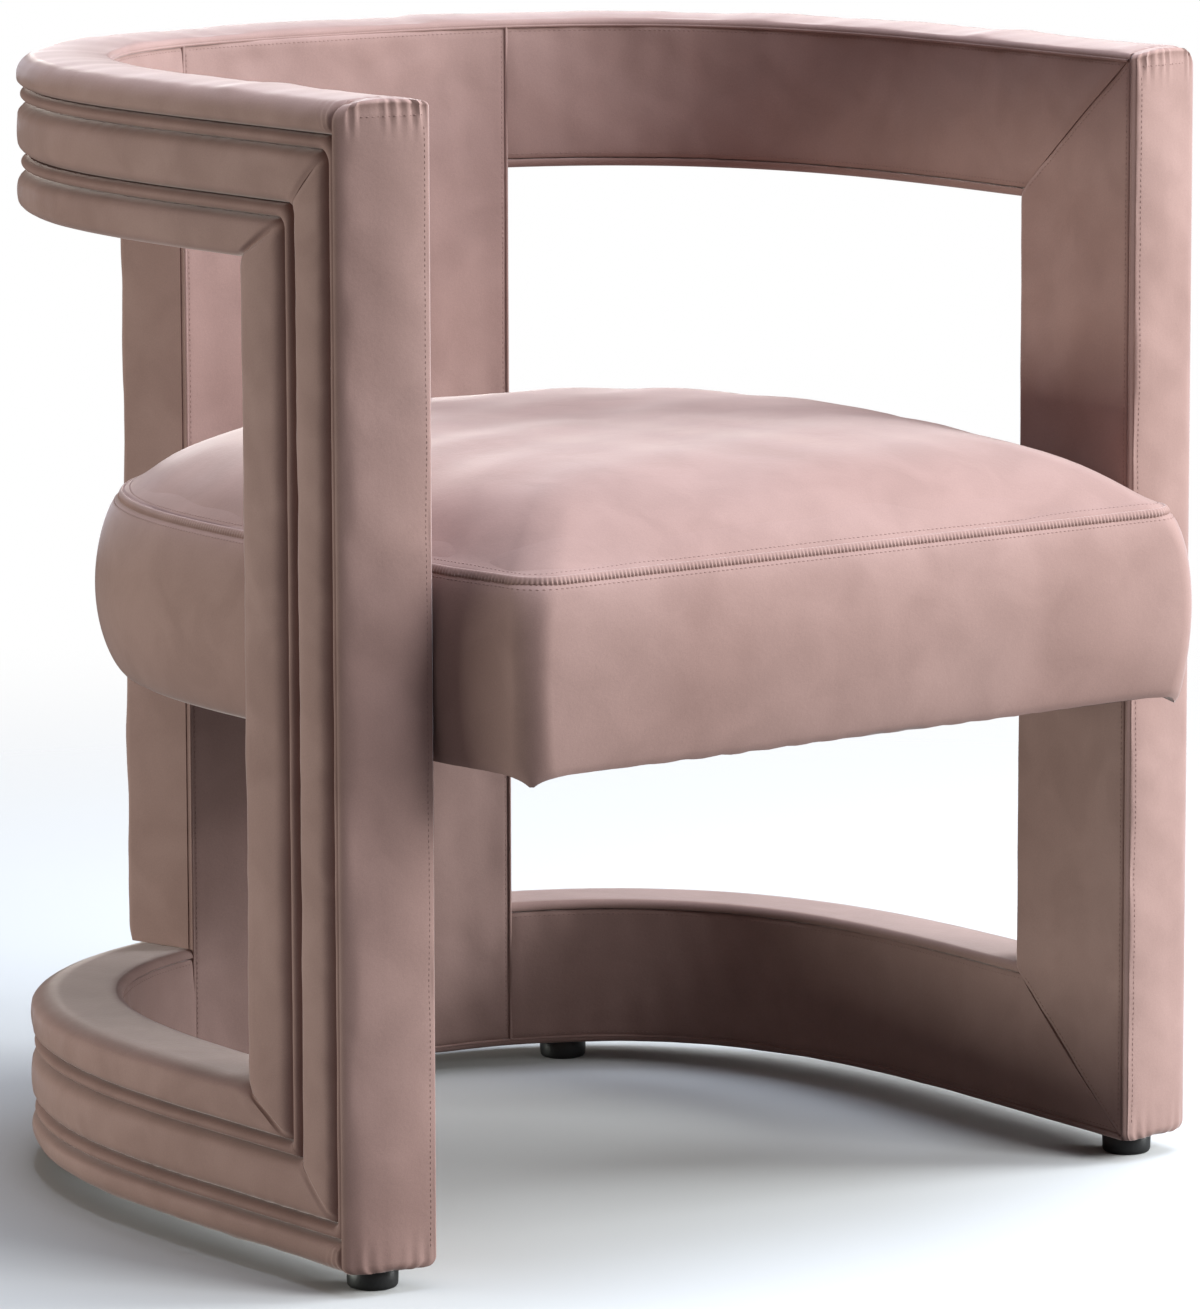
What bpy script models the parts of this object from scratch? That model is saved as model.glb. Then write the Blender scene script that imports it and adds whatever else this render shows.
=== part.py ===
"""Upholstered barrel chair with an open frame: a U-shaped padded wall around a boxed seat.

The wall is a top rail and a bottom rail joined by two front posts and a back panel, with one
large window on each side. Metres, +Z up, front towards -Y. The origin is on the floor, under
the middle of the chair's width and depth. The plan is drawn from the fronts of the posts, at
y = 0, and the last step moves the whole chair back to the origin.
"""

import math

import bmesh
import bpy

# ---------------------------------------------------------------- driving sizes
HEIGHT = 0.720  # floor to the top of the wall
FOOT_HEIGHT = 0.0144  # floor to the underside of the wall
FRONT_HALF_WIDTH = 0.2732  # middle to the inner face of the wall at its front
INNER_HALF_WIDTH = 0.2790  # the same where the arms end
INNER_DEPTH = 0.4974  # front of the wall to its inner face at the middle of the back
ARM_LENGTH = 0.1917  # straight part of each arm
SQUARENESS = 2.8  # exponent of the curve round the back: 2 is an ellipse
WALL = 0.060  # thickness of the padded wall
PAD = 0.012  # padding on the inner face, and round the windows
ROLL = 0.020  # depth of the padded channels on the outer face
RAIL_HEIGHT = 0.0995  # height of the top rail and of the bottom rail
POST_DEPTH = 0.120  # front to back over a post
FRONT_SETBACK = 0.013  # how far the outer front edge of a post stands behind its inner one
PANEL_HALF_WIDTH = 0.130  # middle to the side seam of the back panel, at the inner face

# Channels on the outer face. What is left between them is the middle channel.
WELT = 0.009
EDGE_BAND = 0.019  # rolls over the outer edge of a rail
WINDOW_BAND = 0.028  # beside the window, on a rail
POST_EDGE_BAND = 0.004  # front cover, wrapped round the outer corner of a post
POST_WINDOW_BAND = 0.049  # beside the window, on a post
WELT_RECESS = 0.003  # how far a welt lies behind the channels
ROLL_ROUND = 0.007  # rounding of a channel's long edges
EDGE_ROUND = 0.010  # rounding of the wall's outer top and bottom edges
INNER_ROUND = 0.003  # rounding of its inner ones
SEAM_DROP = 0.004  # from the wall's top or bottom to the seam along its inner edge

BACK_CROWN = 0.013  # how far the back panel's padding swells into the chair
BACK_CROWN_POWER = 0.6  # exponent of that swelling: below 1 it is flat-topped
BACK_CROWN_ENDS = 0.12  # share of the half wave left out at each end
BACK_LEVELS = 6

# Seat
SEAM_HEIGHT = 0.438  # floor to the seat's top seam
BOXING_HEIGHT = 0.116  # side of the seat, below that seam
SEAT_CROWN = 0.049  # rise of the seat's top above the seam
SEAT_OVERHANG = 0.080  # how far the seat stands out in front of the posts
SEAT_FRONT_HALF_WIDTH = 0.258
SEAT_CORNER = 0.026  # corner radius of the seat's front, in plan
SEAT_SWELL = 0.008  # how far its sides swell into the windows
BOXING_PAD = 0.014
BOXING_ROUND = 0.006  # how far the seams lie inside the fullest line of the boxing
TOP_PAD = 0.007  # edge thickness of the padded top cover
TOP_CROWN_POWER = 2.6  # exponent of the top's fall from its middle to its rim
TOP_RINGS = (1.0, 0.88, 0.7, 0.45, 0.2)  # distances from the middle, as shares of the rim's
# Boxing: height as a share, then the shares of BOXING_ROUND and of SEAT_SWELL there.
BOXING_PROFILE = ((0, 1, 0), (1 / 8, 1 / 6, 1 / 2), (1 / 2, 0, 1), (7 / 8, 1 / 6, 1 / 2), (1, 1, 0))
FRAME_THICKNESS = 0.022
FRAME_HEIGHT = 0.058
DECK = 0.012
DUST_COVER = 0.0015

# Hardware
FOOT_RADIUS = 0.016
FOOT_BEVEL = 0.0015
FRONT_FOOT_Y = 0.032
BACK_FOOT_X = 0.180
SCREW_RADIUS = 0.002
SCREW_HEAD_RADIUS = 0.0055
SCREW_HEAD = 0.003
SCREW_GRIP = 0.020  # length of a foot screw inside the timber
BOLT_RADIUS = 0.004
BOLT_HEAD_RADIUS = 0.007
BOLT_HEAD = 0.005
BOLT_COVER = 0.008  # timber left beyond the end of a seat bolt
BOLT_EDGE = 0.030  # from the front or the window side of a post to its nearest bolt

GAP = 0.0003  # between two pieces that touch
SEAT_CLEARANCE = 0.0015  # seat to wall, and foam to cover
HOLE_CLEARANCE = 0.0003
ARM_FACETS = 8  # steps of the plan curve from the arm to the back panel
PANEL_FACETS = 3  # steps from there to the middle of the back
CORNER_FACETS = 4  # steps round a front corner of the seat
ROUND_SIDES = 16
BISECTIONS = 40

# ---------------------------------------------------------------- sizes that follow
INNER_BACK = INNER_DEPTH - ARM_LENGTH
WINDOW_TOP = HEIGHT - RAIL_HEIGHT
WINDOW_BOTTOM = FOOT_HEIGHT + RAIL_HEIGHT
CORE_IN = PAD + GAP
CORE_OUT = WALL - ROLL - GAP
MIDDLE_BAND = RAIL_HEIGHT - EDGE_BAND - WINDOW_BAND - 2 * WELT
POST_OUTER_DEPTH = POST_DEPTH - FRONT_SETBACK
POST_MIDDLE_BAND = POST_OUTER_DEPTH - POST_EDGE_BAND - POST_WINDOW_BAND - 2 * WELT
SEAT_BOTTOM = SEAM_HEIGHT - BOXING_HEIGHT
FRAME_BOTTOM = SEAT_BOTTOM + GAP
FRAME_TOP = FRAME_BOTTOM + FRAME_HEIGHT
DECK_BOTTOM = FRAME_TOP + GAP
DECK_TOP = DECK_BOTTOM + DECK
BOLT_HEIGHT = FRAME_BOTTOM + FRAME_HEIGHT / 2
CENTRE_Y = (INNER_DEPTH + WALL - SEAT_OVERHANG) / 2
FRAME_OUT = -SEAT_CLEARANCE - BOXING_PAD - GAP
FRAME_IN = FRAME_OUT - FRAME_THICKNESS
INNER_TOP = RAIL_HEIGHT - SEAM_DROP


def running_total(widths):
    """Distances from the window edge to each edge of the channels."""
    edges = [0.0]
    for width in widths:
        edges.append(edges[-1] + width)
    return edges


RAIL_EDGES = running_total([WINDOW_BAND, WELT, MIDDLE_BAND, WELT])
POST_EDGES = running_total([POST_WINDOW_BAND, WELT, POST_MIDDLE_BAND, WELT])
BAND_NAMES = ["window_roll", "inner_welt", "middle_roll", "outer_welt"]


# ---------------------------------------------------------------- plan curve
def panel_angle():
    """Direction of the normal, from +X, where the inner face reaches the panel's side seam."""
    share = (PANEL_HALF_WIDTH / INNER_HALF_WIDTH) ** SQUARENESS
    power = (SQUARENESS - 1) / SQUARENESS
    return math.atan(INNER_HALF_WIDTH / INNER_BACK * (1 / share - 1) ** power)


PANEL_ANGLE = panel_angle()
ARM_ANGLES = [PANEL_ANGLE * k / ARM_FACETS for k in range(ARM_FACETS + 1)]
BACK_STEP = (math.pi / 2 - PANEL_ANGLE) / PANEL_FACETS
BACK_ANGLES = [PANEL_ANGLE + BACK_STEP * k for k in range(1, PANEL_FACETS + 1)]
ANGLES = ARM_ANGLES + BACK_ANGLES


def curve(angle, out):
    """Point of the plan, `out` from the inner face where its normal has this angle."""
    power = SQUARENESS / (SQUARENESS - 1)
    across = (INNER_HALF_WIDTH * max(math.cos(angle), 0.0)) ** power
    deep = (INNER_BACK * math.sin(angle)) ** power
    x = INNER_HALF_WIDTH * (across / (across + deep)) ** (1 / SQUARENESS)
    y = ARM_LENGTH + INNER_BACK * (deep / (across + deep)) ** (1 / SQUARENESS)
    return x + out * math.cos(angle), y + out * math.sin(angle)


def beside_panel(out, along):
    """Point of the plan beside the panel's side, moved along the facets towards the back."""
    x, y = curve(PANEL_ANGLE, out)
    near_x, near_y = curve(BACK_ANGLES[0] if along > 0 else ARM_ANGLES[-2], out)
    share = abs(along) / math.hypot(near_x - x, near_y - y)
    return x + (near_x - x) * share, y + (near_y - y) * share


def arm(y, out):
    """Point of the plan at this y on the straight arm, `out` from its inner face."""
    slope = (INNER_HALF_WIDTH - FRONT_HALF_WIDTH) / ARM_LENGTH
    return FRONT_HALF_WIDTH + slope * y + out, y


def front_y(out):
    """The front of a post at this distance from its inner face."""
    return FRONT_SETBACK * out / WALL


def front_pad_y(out):
    """The back of the padding on that front."""
    return PAD + (FRONT_SETBACK + POST_EDGE_BAND - PAD) * out / WALL


def rail_to_post(distance):
    """Where a channel edge this far above the window meets the mitre, from the window, on a post."""
    for k in range(len(RAIL_EDGES) - 1):
        if distance <= RAIL_EDGES[k + 1] + GAP:
            share = (distance - RAIL_EDGES[k]) / (RAIL_EDGES[k + 1] - RAIL_EDGES[k])
            return POST_EDGES[k] + share * (POST_EDGES[k + 1] - POST_EDGES[k])
    return POST_EDGES[-1]


def post_to_rail(distance):
    """The reverse of rail_to_post."""
    for k in range(len(POST_EDGES) - 1):
        if distance <= POST_EDGES[k + 1] + GAP:
            share = (distance - POST_EDGES[k]) / (POST_EDGES[k + 1] - POST_EDGES[k])
            return RAIL_EDGES[k] + share * (RAIL_EDGES[k + 1] - RAIL_EDGES[k])
    return RAIL_EDGES[-1]


def rail_z(is_top, distance):
    """Height of a point of a rail, from its distance to the window edge."""
    return WINDOW_TOP + distance if is_top else WINDOW_BOTTOM - distance


# ---------------------------------------------------------------- mesh tools
def new_object(name, mesh, material):
    obj = bpy.data.objects.new(name, mesh)
    bpy.context.scene.collection.objects.link(obj)
    obj.data.materials.append(material)
    return obj


def solid(name, rings, material, closed=False):
    """A solid through rings of points: capped at both ends, or joined into a loop."""
    bm = bmesh.new()
    loops = [[bm.verts.new(point) for point in ring] for ring in rings]
    pairs = list(zip(loops, loops[1:]))
    if closed:
        pairs.append((loops[-1], loops[0]))
    for low, high in pairs:
        for k in range(len(low)):
            nxt = (k + 1) % len(low)
            bm.faces.new((low[k], low[nxt], high[nxt], high[k]))
    if not closed:
        bm.faces.new(loops[0][::-1])
        bm.faces.new(loops[-1])
    bmesh.ops.recalc_face_normals(bm, faces=bm.faces)
    mesh = bpy.data.meshes.new(name)
    bm.to_mesh(mesh)
    bm.free()
    return new_object(name, mesh, material)


def dome(name, layers, apex_high, base, apex_low, material):
    """A solid with a crowned top through `layers` and an underside through `base`.

    Both lists hold rings from the rim inwards, and each ends in one middle point.
    """
    bm = bmesh.new()
    top = [[bm.verts.new(point) for point in ring] for ring in layers]
    low = [[bm.verts.new(point) for point in ring] for ring in base]
    chain = top[::-1] + low
    for first, second in zip(chain, chain[1:]):
        for k in range(len(first)):
            nxt = (k + 1) % len(first)
            bm.faces.new((first[k], first[nxt], second[nxt], second[k]))
    for ring, apex in ((top[-1], apex_high), (low[-1], apex_low)):
        middle = bm.verts.new(apex)
        for k in range(len(ring)):
            bm.faces.new((ring[k], ring[(k + 1) % len(ring)], middle))
    bmesh.ops.recalc_face_normals(bm, faces=bm.faces)
    mesh = bpy.data.meshes.new(name)
    bm.to_mesh(mesh)
    bm.free()
    return new_object(name, mesh, material)


def turned(name, profile, material):
    """A ring turned about its object's Z axis from a closed profile of (radius, z)."""
    rings = []
    for k in range(ROUND_SIDES):
        angle = 2 * math.pi * k / ROUND_SIDES
        rings.append([(r * math.cos(angle), r * math.sin(angle), z) for r, z in profile])
    return solid(name, rings, material, closed=True)


def headed_pin(name, radius, head_radius, head, length, material):
    """A screw or bolt along its object's +Z, with the underside of its head at 0."""
    steps = [(head_radius, -head), (head_radius, 0.0), (radius, 0.0), (radius, length)]
    rings = []
    for r, z in steps:
        ring = []
        for k in range(ROUND_SIDES):
            angle = 2 * math.pi * k / ROUND_SIDES
            ring.append((r * math.cos(angle), r * math.sin(angle), z))
        rings.append(ring)
    return solid(name, rings, material)


def drill(name, radius, length, place, turn, targets):
    """A straight hole through the targets, from `place` along the turned +Z."""
    bpy.ops.mesh.primitive_cylinder_add(vertices=ROUND_SIDES, radius=radius, depth=length)
    cutter = bpy.context.object
    cutter.name = name
    for vertex in cutter.data.vertices:
        vertex.co.z += length / 2
    cutter.location = place
    cutter.rotation_euler = turn
    cutter.hide_render = True
    cutter.display_type = "WIRE"
    for target in targets:
        cut = target.modifiers.new(name, "BOOLEAN")
        cut.operation = "DIFFERENCE"
        cut.solver = "EXACT"
        cut.object = cutter


def material(name, colour, roughness, metallic=0.0):
    made = bpy.data.materials.new(name)
    made.use_nodes = True
    shader = made.node_tree.nodes["Principled BSDF"]
    shader.inputs["Base Color"].default_value = (*colour, 1.0)
    shader.inputs["Roughness"].default_value = roughness
    shader.inputs["Metallic"].default_value = metallic
    return made


# ---------------------------------------------------------------- sweeps
def mirrored(points):
    return [(-x, y, z) for x, y, z in points]


def whole_rail(name, section, end_y, surface):
    """A piece that runs from one post round the back to the other.

    `section` holds (out, z), and end_y(out, z) says where it ends at a post.
    """
    first = [(*arm(end_y(out, z), out), z) for out, z in section]
    half = [first]
    for angle in ANGLES:
        half.append([(*curve(angle, out), z) for out, z in section])
    other = [mirrored(ring) for ring in half[-2::-1]]
    return solid(name, half + other, surface)


def side_rail(name, section, end_y, side, surface):
    """A piece that runs from a post to the side of the back panel."""
    rings = [[(*arm(end_y(out, z), out), z) for out, z in section]]
    for angle in ARM_ANGLES[:-1]:
        rings.append([(*curve(angle, out), z) for out, z in section])
    rings.append([(*beside_panel(out, -GAP), z) for out, z in section])
    return solid(name, rings if side > 0 else [mirrored(ring) for ring in rings], surface)


def post_piece(name, section, heights, side, surface):
    """An upright piece with this plan section of (out, y), and heights(y) for its two ends."""
    low = [(*arm(y, out), heights(y)[0]) for out, y in section]
    high = [(*arm(y, out), heights(y)[1]) for out, y in section]
    rings = [low, high]
    return solid(name, rings if side > 0 else [mirrored(ring) for ring in rings], surface)


def box_section(out_a, out_b, z_a, z_b):
    return [(out_a, z_a), (out_b, z_a), (out_b, z_b), (out_a, z_b)]


def roll_section(near, far, recess):
    """Section of a channel: across it from `near` to `far`, and out to the wall's face."""
    inner = WALL - ROLL
    face = WALL - recess
    rounding = min(ROLL_ROUND, (far - near) / 4)
    if recess:
        return [(inner, near), (face, near), (face, far), (inner, far)]
    return [
        (inner, near),
        (face - rounding, near),
        (face, near + rounding),
        (face, far - rounding),
        (face - rounding, far),
        (inner, far),
    ]


# ---------------------------------------------------------------- timber
def make_rail_core(name, is_top, ply):
    section = [
        (out, rail_z(is_top, distance))
        for out, distance in box_section(CORE_IN, CORE_OUT, PAD + GAP, RAIL_EDGES[-1] - GAP)
    ]
    return whole_rail(name, section, lambda out, z: POST_DEPTH - PAD + GAP, ply)


def make_post_core(name, side, ply):
    section = []
    for out in (CORE_IN, CORE_OUT):
        section.append((out, front_pad_y(out) + GAP))
    for out in (CORE_OUT, CORE_IN):
        section.append((out, POST_DEPTH - PAD - GAP))
    ends = (FOOT_HEIGHT + EDGE_BAND + GAP, HEIGHT - EDGE_BAND - GAP)
    return post_piece(name, section, lambda y: ends, side, ply)


def panel_strip(name, section_at, side_inset, surface):
    """A piece of the back panel, between its two sides and set in from them.

    section_at(share) gives its (out, z) ring, with share from 0 at a side to 1 in the middle.
    """
    half = []
    for k, angle in enumerate([PANEL_ANGLE] + BACK_ANGLES):
        ring = section_at(k / PANEL_FACETS)
        if k == 0:
            half.append([(*beside_panel(out, side_inset), z) for out, z in ring])
        else:
            half.append([(*curve(angle, out), z) for out, z in ring])
    other = [mirrored(ring) for ring in half[-2::-1]]
    return solid(name, half + other, surface)


def make_back_core(ply):
    low = WINDOW_BOTTOM - PAD + GAP
    high = WINDOW_TOP + PAD - GAP
    section = box_section(CORE_IN, CORE_OUT, low, high)
    return panel_strip("back_panel_core", lambda share: section, PAD + GAP, ply)


# ---------------------------------------------------------------- wall upholstery
def make_edge_roll(name, is_top, fabric):
    """The cover of a rail's outer edge, over the wall's full thickness, from post to post."""
    inside = RAIL_EDGES[-1] + GAP
    outline = [
        (PAD + GAP, inside),
        (WALL, inside),
        (WALL, RAIL_HEIGHT - EDGE_ROUND),
        (WALL - EDGE_ROUND / 3, RAIL_HEIGHT - EDGE_ROUND / 3),
        (WALL - EDGE_ROUND, RAIL_HEIGHT),
        (INNER_ROUND, RAIL_HEIGHT),
        (0.0, RAIL_HEIGHT - INNER_ROUND),
        (0.0, INNER_TOP),
        (PAD + GAP, INNER_TOP),
    ]
    section = [(out, rail_z(is_top, distance)) for out, distance in outline]
    return whole_rail(name, section, lambda out, z: front_pad_y(out) + GAP, fabric)


def make_rail_band(name, is_top, k, fabric):
    """Channel k of a rail, mitred to the same channel of the two posts."""
    near = RAIL_EDGES[k] + (GAP if k else 0.0)
    far = RAIL_EDGES[k + 1] - GAP
    recess = WELT_RECESS if "welt" in name else 0.0
    section = [(out, rail_z(is_top, distance)) for out, distance in roll_section(near, far, recess)]

    def end_y(out, z):
        distance = z - WINDOW_TOP if is_top else WINDOW_BOTTOM - z
        return POST_DEPTH - rail_to_post(distance) + 2 * GAP

    return whole_rail(name, section, end_y, fabric)


def make_post_band(name, side, k, fabric):
    near = POST_EDGES[k] + (GAP if k else 0.0)
    far = POST_EDGES[k + 1] - GAP
    recess = WELT_RECESS if "welt" in name else 0.0
    section = [(out, POST_DEPTH - distance) for out, distance in roll_section(near, far, recess)]

    def heights(y):
        distance = post_to_rail(POST_DEPTH - y)
        return rail_z(False, distance), rail_z(True, distance)

    return post_piece(name, section, heights, side, fabric)


def make_front_pad(name, side, fabric):
    """The front cover of a post, over the wall's full height."""
    section = [
        (0.0, front_pad_y(0.0)),
        (0.0, INNER_ROUND),
        (INNER_ROUND, front_y(INNER_ROUND)),
        (WALL - INNER_ROUND, front_y(WALL - INNER_ROUND)),
        (WALL, front_y(WALL) + POST_EDGE_BAND / 2),
        (WALL, front_pad_y(WALL)),
    ]
    return post_piece(name, section, lambda y: (FOOT_HEIGHT, HEIGHT), side, fabric)


def inner_mitre(distance):
    """On the inner face: where a point this far from the window meets the mitre, as a y."""
    start = POST_DEPTH - PAD
    end = front_pad_y(PAD) + GAP
    return start + (end - start) * (distance - PAD) / (INNER_TOP - PAD)


def make_rail_inner_pad(name, is_top, side, fabric):
    outline = box_section(0.0, PAD, PAD + GAP, INNER_TOP - GAP)
    section = [(out, rail_z(is_top, distance)) for out, distance in outline]

    def end_y(out, z):
        distance = z - WINDOW_TOP if is_top else WINDOW_BOTTOM - z
        return inner_mitre(distance) + 2 * GAP

    return side_rail(name, section, end_y, side, fabric)


def make_post_inner_pad(name, side, fabric):
    first = front_pad_y(PAD) + GAP
    last = POST_DEPTH - PAD - GAP
    section = [(0.0, first), (PAD, first), (PAD, last), (0.0, last)]

    def heights(y):
        share = (y - inner_mitre(PAD)) / (inner_mitre(INNER_TOP) - inner_mitre(PAD))
        distance = PAD + share * (INNER_TOP - PAD)
        return rail_z(False, distance - GAP), rail_z(True, distance - GAP)

    return post_piece(name, section, heights, side, fabric)


def make_rail_reveal(name, is_top, side, fabric):
    """Padding on the side of a rail that faces the window."""
    outline = box_section(0.0, CORE_OUT, 0.0, PAD - GAP)
    section = [(out, rail_z(is_top, distance)) for out, distance in outline]

    def end_y(out, z):
        distance = z - WINDOW_TOP if is_top else WINDOW_BOTTOM - z
        return POST_DEPTH - distance + 2 * GAP

    return side_rail(name, section, end_y, side, fabric)


def make_post_reveal(name, side, fabric):
    first = POST_DEPTH - PAD + GAP
    section = [(0.0, first), (CORE_OUT, first), (CORE_OUT, POST_DEPTH), (0.0, POST_DEPTH)]

    def heights(y):
        return rail_z(False, POST_DEPTH - y), rail_z(True, POST_DEPTH - y)

    return post_piece(name, section, heights, side, fabric)


def make_back_inner_pad(fabric):
    """Full-height padding on the inside of the back, crowned between its two side seams."""
    low = FOOT_HEIGHT + SEAM_DROP + GAP
    high = HEIGHT - SEAM_DROP - GAP

    def ring(share):
        across = math.sqrt(math.sin(math.pi / 2 * share))
        face = []
        for k in range(BACK_LEVELS + 1):
            rise = k / BACK_LEVELS
            wave = BACK_CROWN_ENDS + (1 - 2 * BACK_CROWN_ENDS) * rise
            swell = BACK_CROWN * math.sin(math.pi * wave) ** BACK_CROWN_POWER
            face.append((-swell * across, low + (high - low) * rise))
        return [(PAD, low)] + face + [(PAD, high)]

    return panel_strip("back_inner_pad", ring, 0.0, fabric)


def make_back_outer_pad(fabric):
    """The plain outer cover of the back panel, with a flange round each of its sides."""
    low = WINDOW_BOTTOM + GAP
    high = WINDOW_TOP - GAP
    half_out = [curve(PANEL_ANGLE, WALL)] + [curve(angle, WALL) for angle in BACK_ANGLES]
    inner = WALL - ROLL
    half_in = [beside_panel(inner, PAD)] + [curve(angle, inner) for angle in BACK_ANGLES]
    flange = [beside_panel(CORE_IN, PAD), curve(PANEL_ANGLE, CORE_IN)]
    right = flange[1:] + half_out
    inside = flange[:1] + half_in
    outer = right + [(-x, y) for x, y in right[-2::-1]]
    back = [(-x, y) for x, y in inside] + inside[-2::-1]
    plan = outer + back
    rings = [[(x, y, z) for x, y in plan] for z in (low, high)]
    return solid("back_outer_pad", rings, fabric)


# ---------------------------------------------------------------- seat
def side_out(y):
    """Side of the seat in front of the posts: it narrows to the front corners."""
    if y >= 0:
        return -SEAT_CLEARANCE
    share = max(1 - y / (SEAT_CORNER - SEAT_OVERHANG), 0.0)
    width = arm(0.0, -SEAT_CLEARANCE)[0] - SEAT_FRONT_HALF_WIDTH
    return SEAT_FRONT_HALF_WIDTH + share * width - arm(y, 0.0)[0]


def seat_outline(inset, swell=0.0):
    """The seat's plan, set in by `inset`, with its sides swollen into the windows by `swell`."""
    half = []
    centre_x = SEAT_FRONT_HALF_WIDTH - SEAT_CORNER
    centre_y = SEAT_CORNER - SEAT_OVERHANG
    radius = SEAT_CORNER - inset
    for share in (0.0, 0.5):
        half.append((share * centre_x, inset - SEAT_OVERHANG))
    for k in range(CORNER_FACETS + 1):
        angle = math.pi / 2 * (k / CORNER_FACETS - 1)
        x = centre_x + radius * math.cos(angle)
        half.append((x, centre_y + radius * math.sin(angle)))
    for y in (0.0, POST_DEPTH):
        half.append(arm(y, side_out(y) - inset))
    for k, angle in enumerate(ARM_ANGLES):
        share = min(k + 1, len(ARM_ANGLES) - 1 - k) / 2
        out = min(max(share, 0.0), 1.0) * swell
        if k == len(ARM_ANGLES) - 1:
            out = -BACK_CROWN
        half.append(curve(angle, out - SEAT_CLEARANCE - inset))
    for angle in BACK_ANGLES:
        half.append(curve(angle, -BACK_CROWN - SEAT_CLEARANCE - inset))
    return half + [(-x, y) for x, y in half[-2:0:-1]]


def at_height(plan, z):
    return [(x, y, z) for x, y in plan]


def make_boxing(fabric):
    """The padded band round the seat, fullest at half its height."""
    low = SEAT_BOTTOM + GAP
    high = SEAM_HEIGHT
    outer = []
    for rise, inset, swell in BOXING_PROFILE:
        plan = seat_outline(inset * BOXING_ROUND, swell * SEAT_SWELL)
        outer.append(at_height(plan, low + (high - low) * rise))
    inner = [at_height(seat_outline(BOXING_PAD), high), at_height(seat_outline(BOXING_PAD), low)]
    return solid("seat_boxing", outer + inner, fabric, closed=True)


def crowned(plan, edge_z, rise):
    """Rings over the seat from its rim to near its middle, and the middle point."""
    centre_y = ARM_LENGTH
    rings = []
    for share in TOP_RINGS:
        z = edge_z + rise * (1 - share**TOP_CROWN_POWER)
        rings.append([(x * share, centre_y + (y - centre_y) * share, z) for x, y in plan])
    return rings, (0.0, centre_y, edge_z + rise)


def make_seat_top(fabric):
    plan = seat_outline(BOXING_ROUND)
    high, apex = crowned(plan, SEAM_HEIGHT + TOP_PAD, SEAT_CROWN - TOP_PAD)
    low, under = crowned(plan, SEAM_HEIGHT + GAP, SEAT_CROWN - TOP_PAD)
    return dome("seat_top_cover", high, apex, low, under, fabric)


def make_seat_foam(foam):
    plan = seat_outline(BOXING_PAD + GAP)
    high, apex = crowned(plan, SEAM_HEIGHT - SEAT_CLEARANCE, SEAT_CROWN - TOP_PAD)
    low = [at_height([(x, y) for x, y, z in ring], DECK_TOP + GAP) for ring in high[:1]]
    return dome("seat_foam", high, apex, low, (0.0, ARM_LENGTH, DECK_TOP + GAP), foam)


def make_sheet(name, inset, low, high, surface):
    plan = seat_outline(inset)
    return solid(name, [at_height(plan, low), at_height(plan, high)], surface)


def make_seat_frame(ply):
    """Front board, two side boards along the arms and one board bent round the back."""
    low = FRAME_BOTTOM
    high = FRAME_TOP
    first_y = BOXING_PAD + GAP - SEAT_OVERHANG
    corner = FRAME_THICKNESS + SEAT_CORNER
    width = SEAT_FRONT_HALF_WIDTH - corner
    front = [(-width, first_y), (width, first_y)]
    front += [(width, first_y + FRAME_THICKNESS), (-width, first_y + FRAME_THICKNESS)]
    boards = [solid("seat_frame_front", [at_height(front, z) for z in (low, high)], ply)]
    start = first_y + FRAME_THICKNESS + GAP
    stops = (start, 0.0, ARM_LENGTH - GAP)
    outside = [arm(y, side_out(y) - BOXING_PAD - GAP) for y in stops]
    outline = outside + [(x - FRAME_THICKNESS, y) for x, y in outside[::-1]]
    for side_name, side in (("left", -1), ("right", 1)):
        plan = [(x * side, y) for x, y in outline]
        rings = [at_height(plan, z) for z in (low, high)]
        boards.append(solid("seat_frame_" + side_name, rings, ply))
    half = []
    for angle in ANGLES:
        swell = 0.0 if angle < PANEL_ANGLE else BACK_CROWN
        section = box_section(FRAME_IN - swell, FRAME_OUT - swell, low, high)
        half.append([(*curve(angle, out), z) for out, z in section])
    half[0] = [(x, y + GAP, z) for x, y, z in half[0]]
    boards.append(solid("seat_frame_back", half + [mirrored(r) for r in half[-2::-1]], ply))
    return boards


# ---------------------------------------------------------------- hardware
def back_point(x, out):
    """Point of the plan round the back with this x, found by halving its normal's angle."""
    low, high = 0.0, math.pi / 2
    for _ in range(BISECTIONS):
        angle = (low + high) / 2
        if curve(angle, out)[0] > x:
            low = angle
        else:
            high = angle
    return curve(low, out)


def foot_places():
    """Name, x and y of each foot, under the middle of the timber."""
    middle = (CORE_IN + CORE_OUT) / 2
    front = arm(FRONT_FOOT_Y, middle)[0]
    back = back_point(BACK_FOOT_X, middle)
    return [
        ("front_left", -front, FRONT_FOOT_Y),
        ("front_right", front, FRONT_FOOT_Y),
        ("back_left", -back[0], back[1]),
        ("back_right", back[0], back[1]),
    ]


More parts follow.
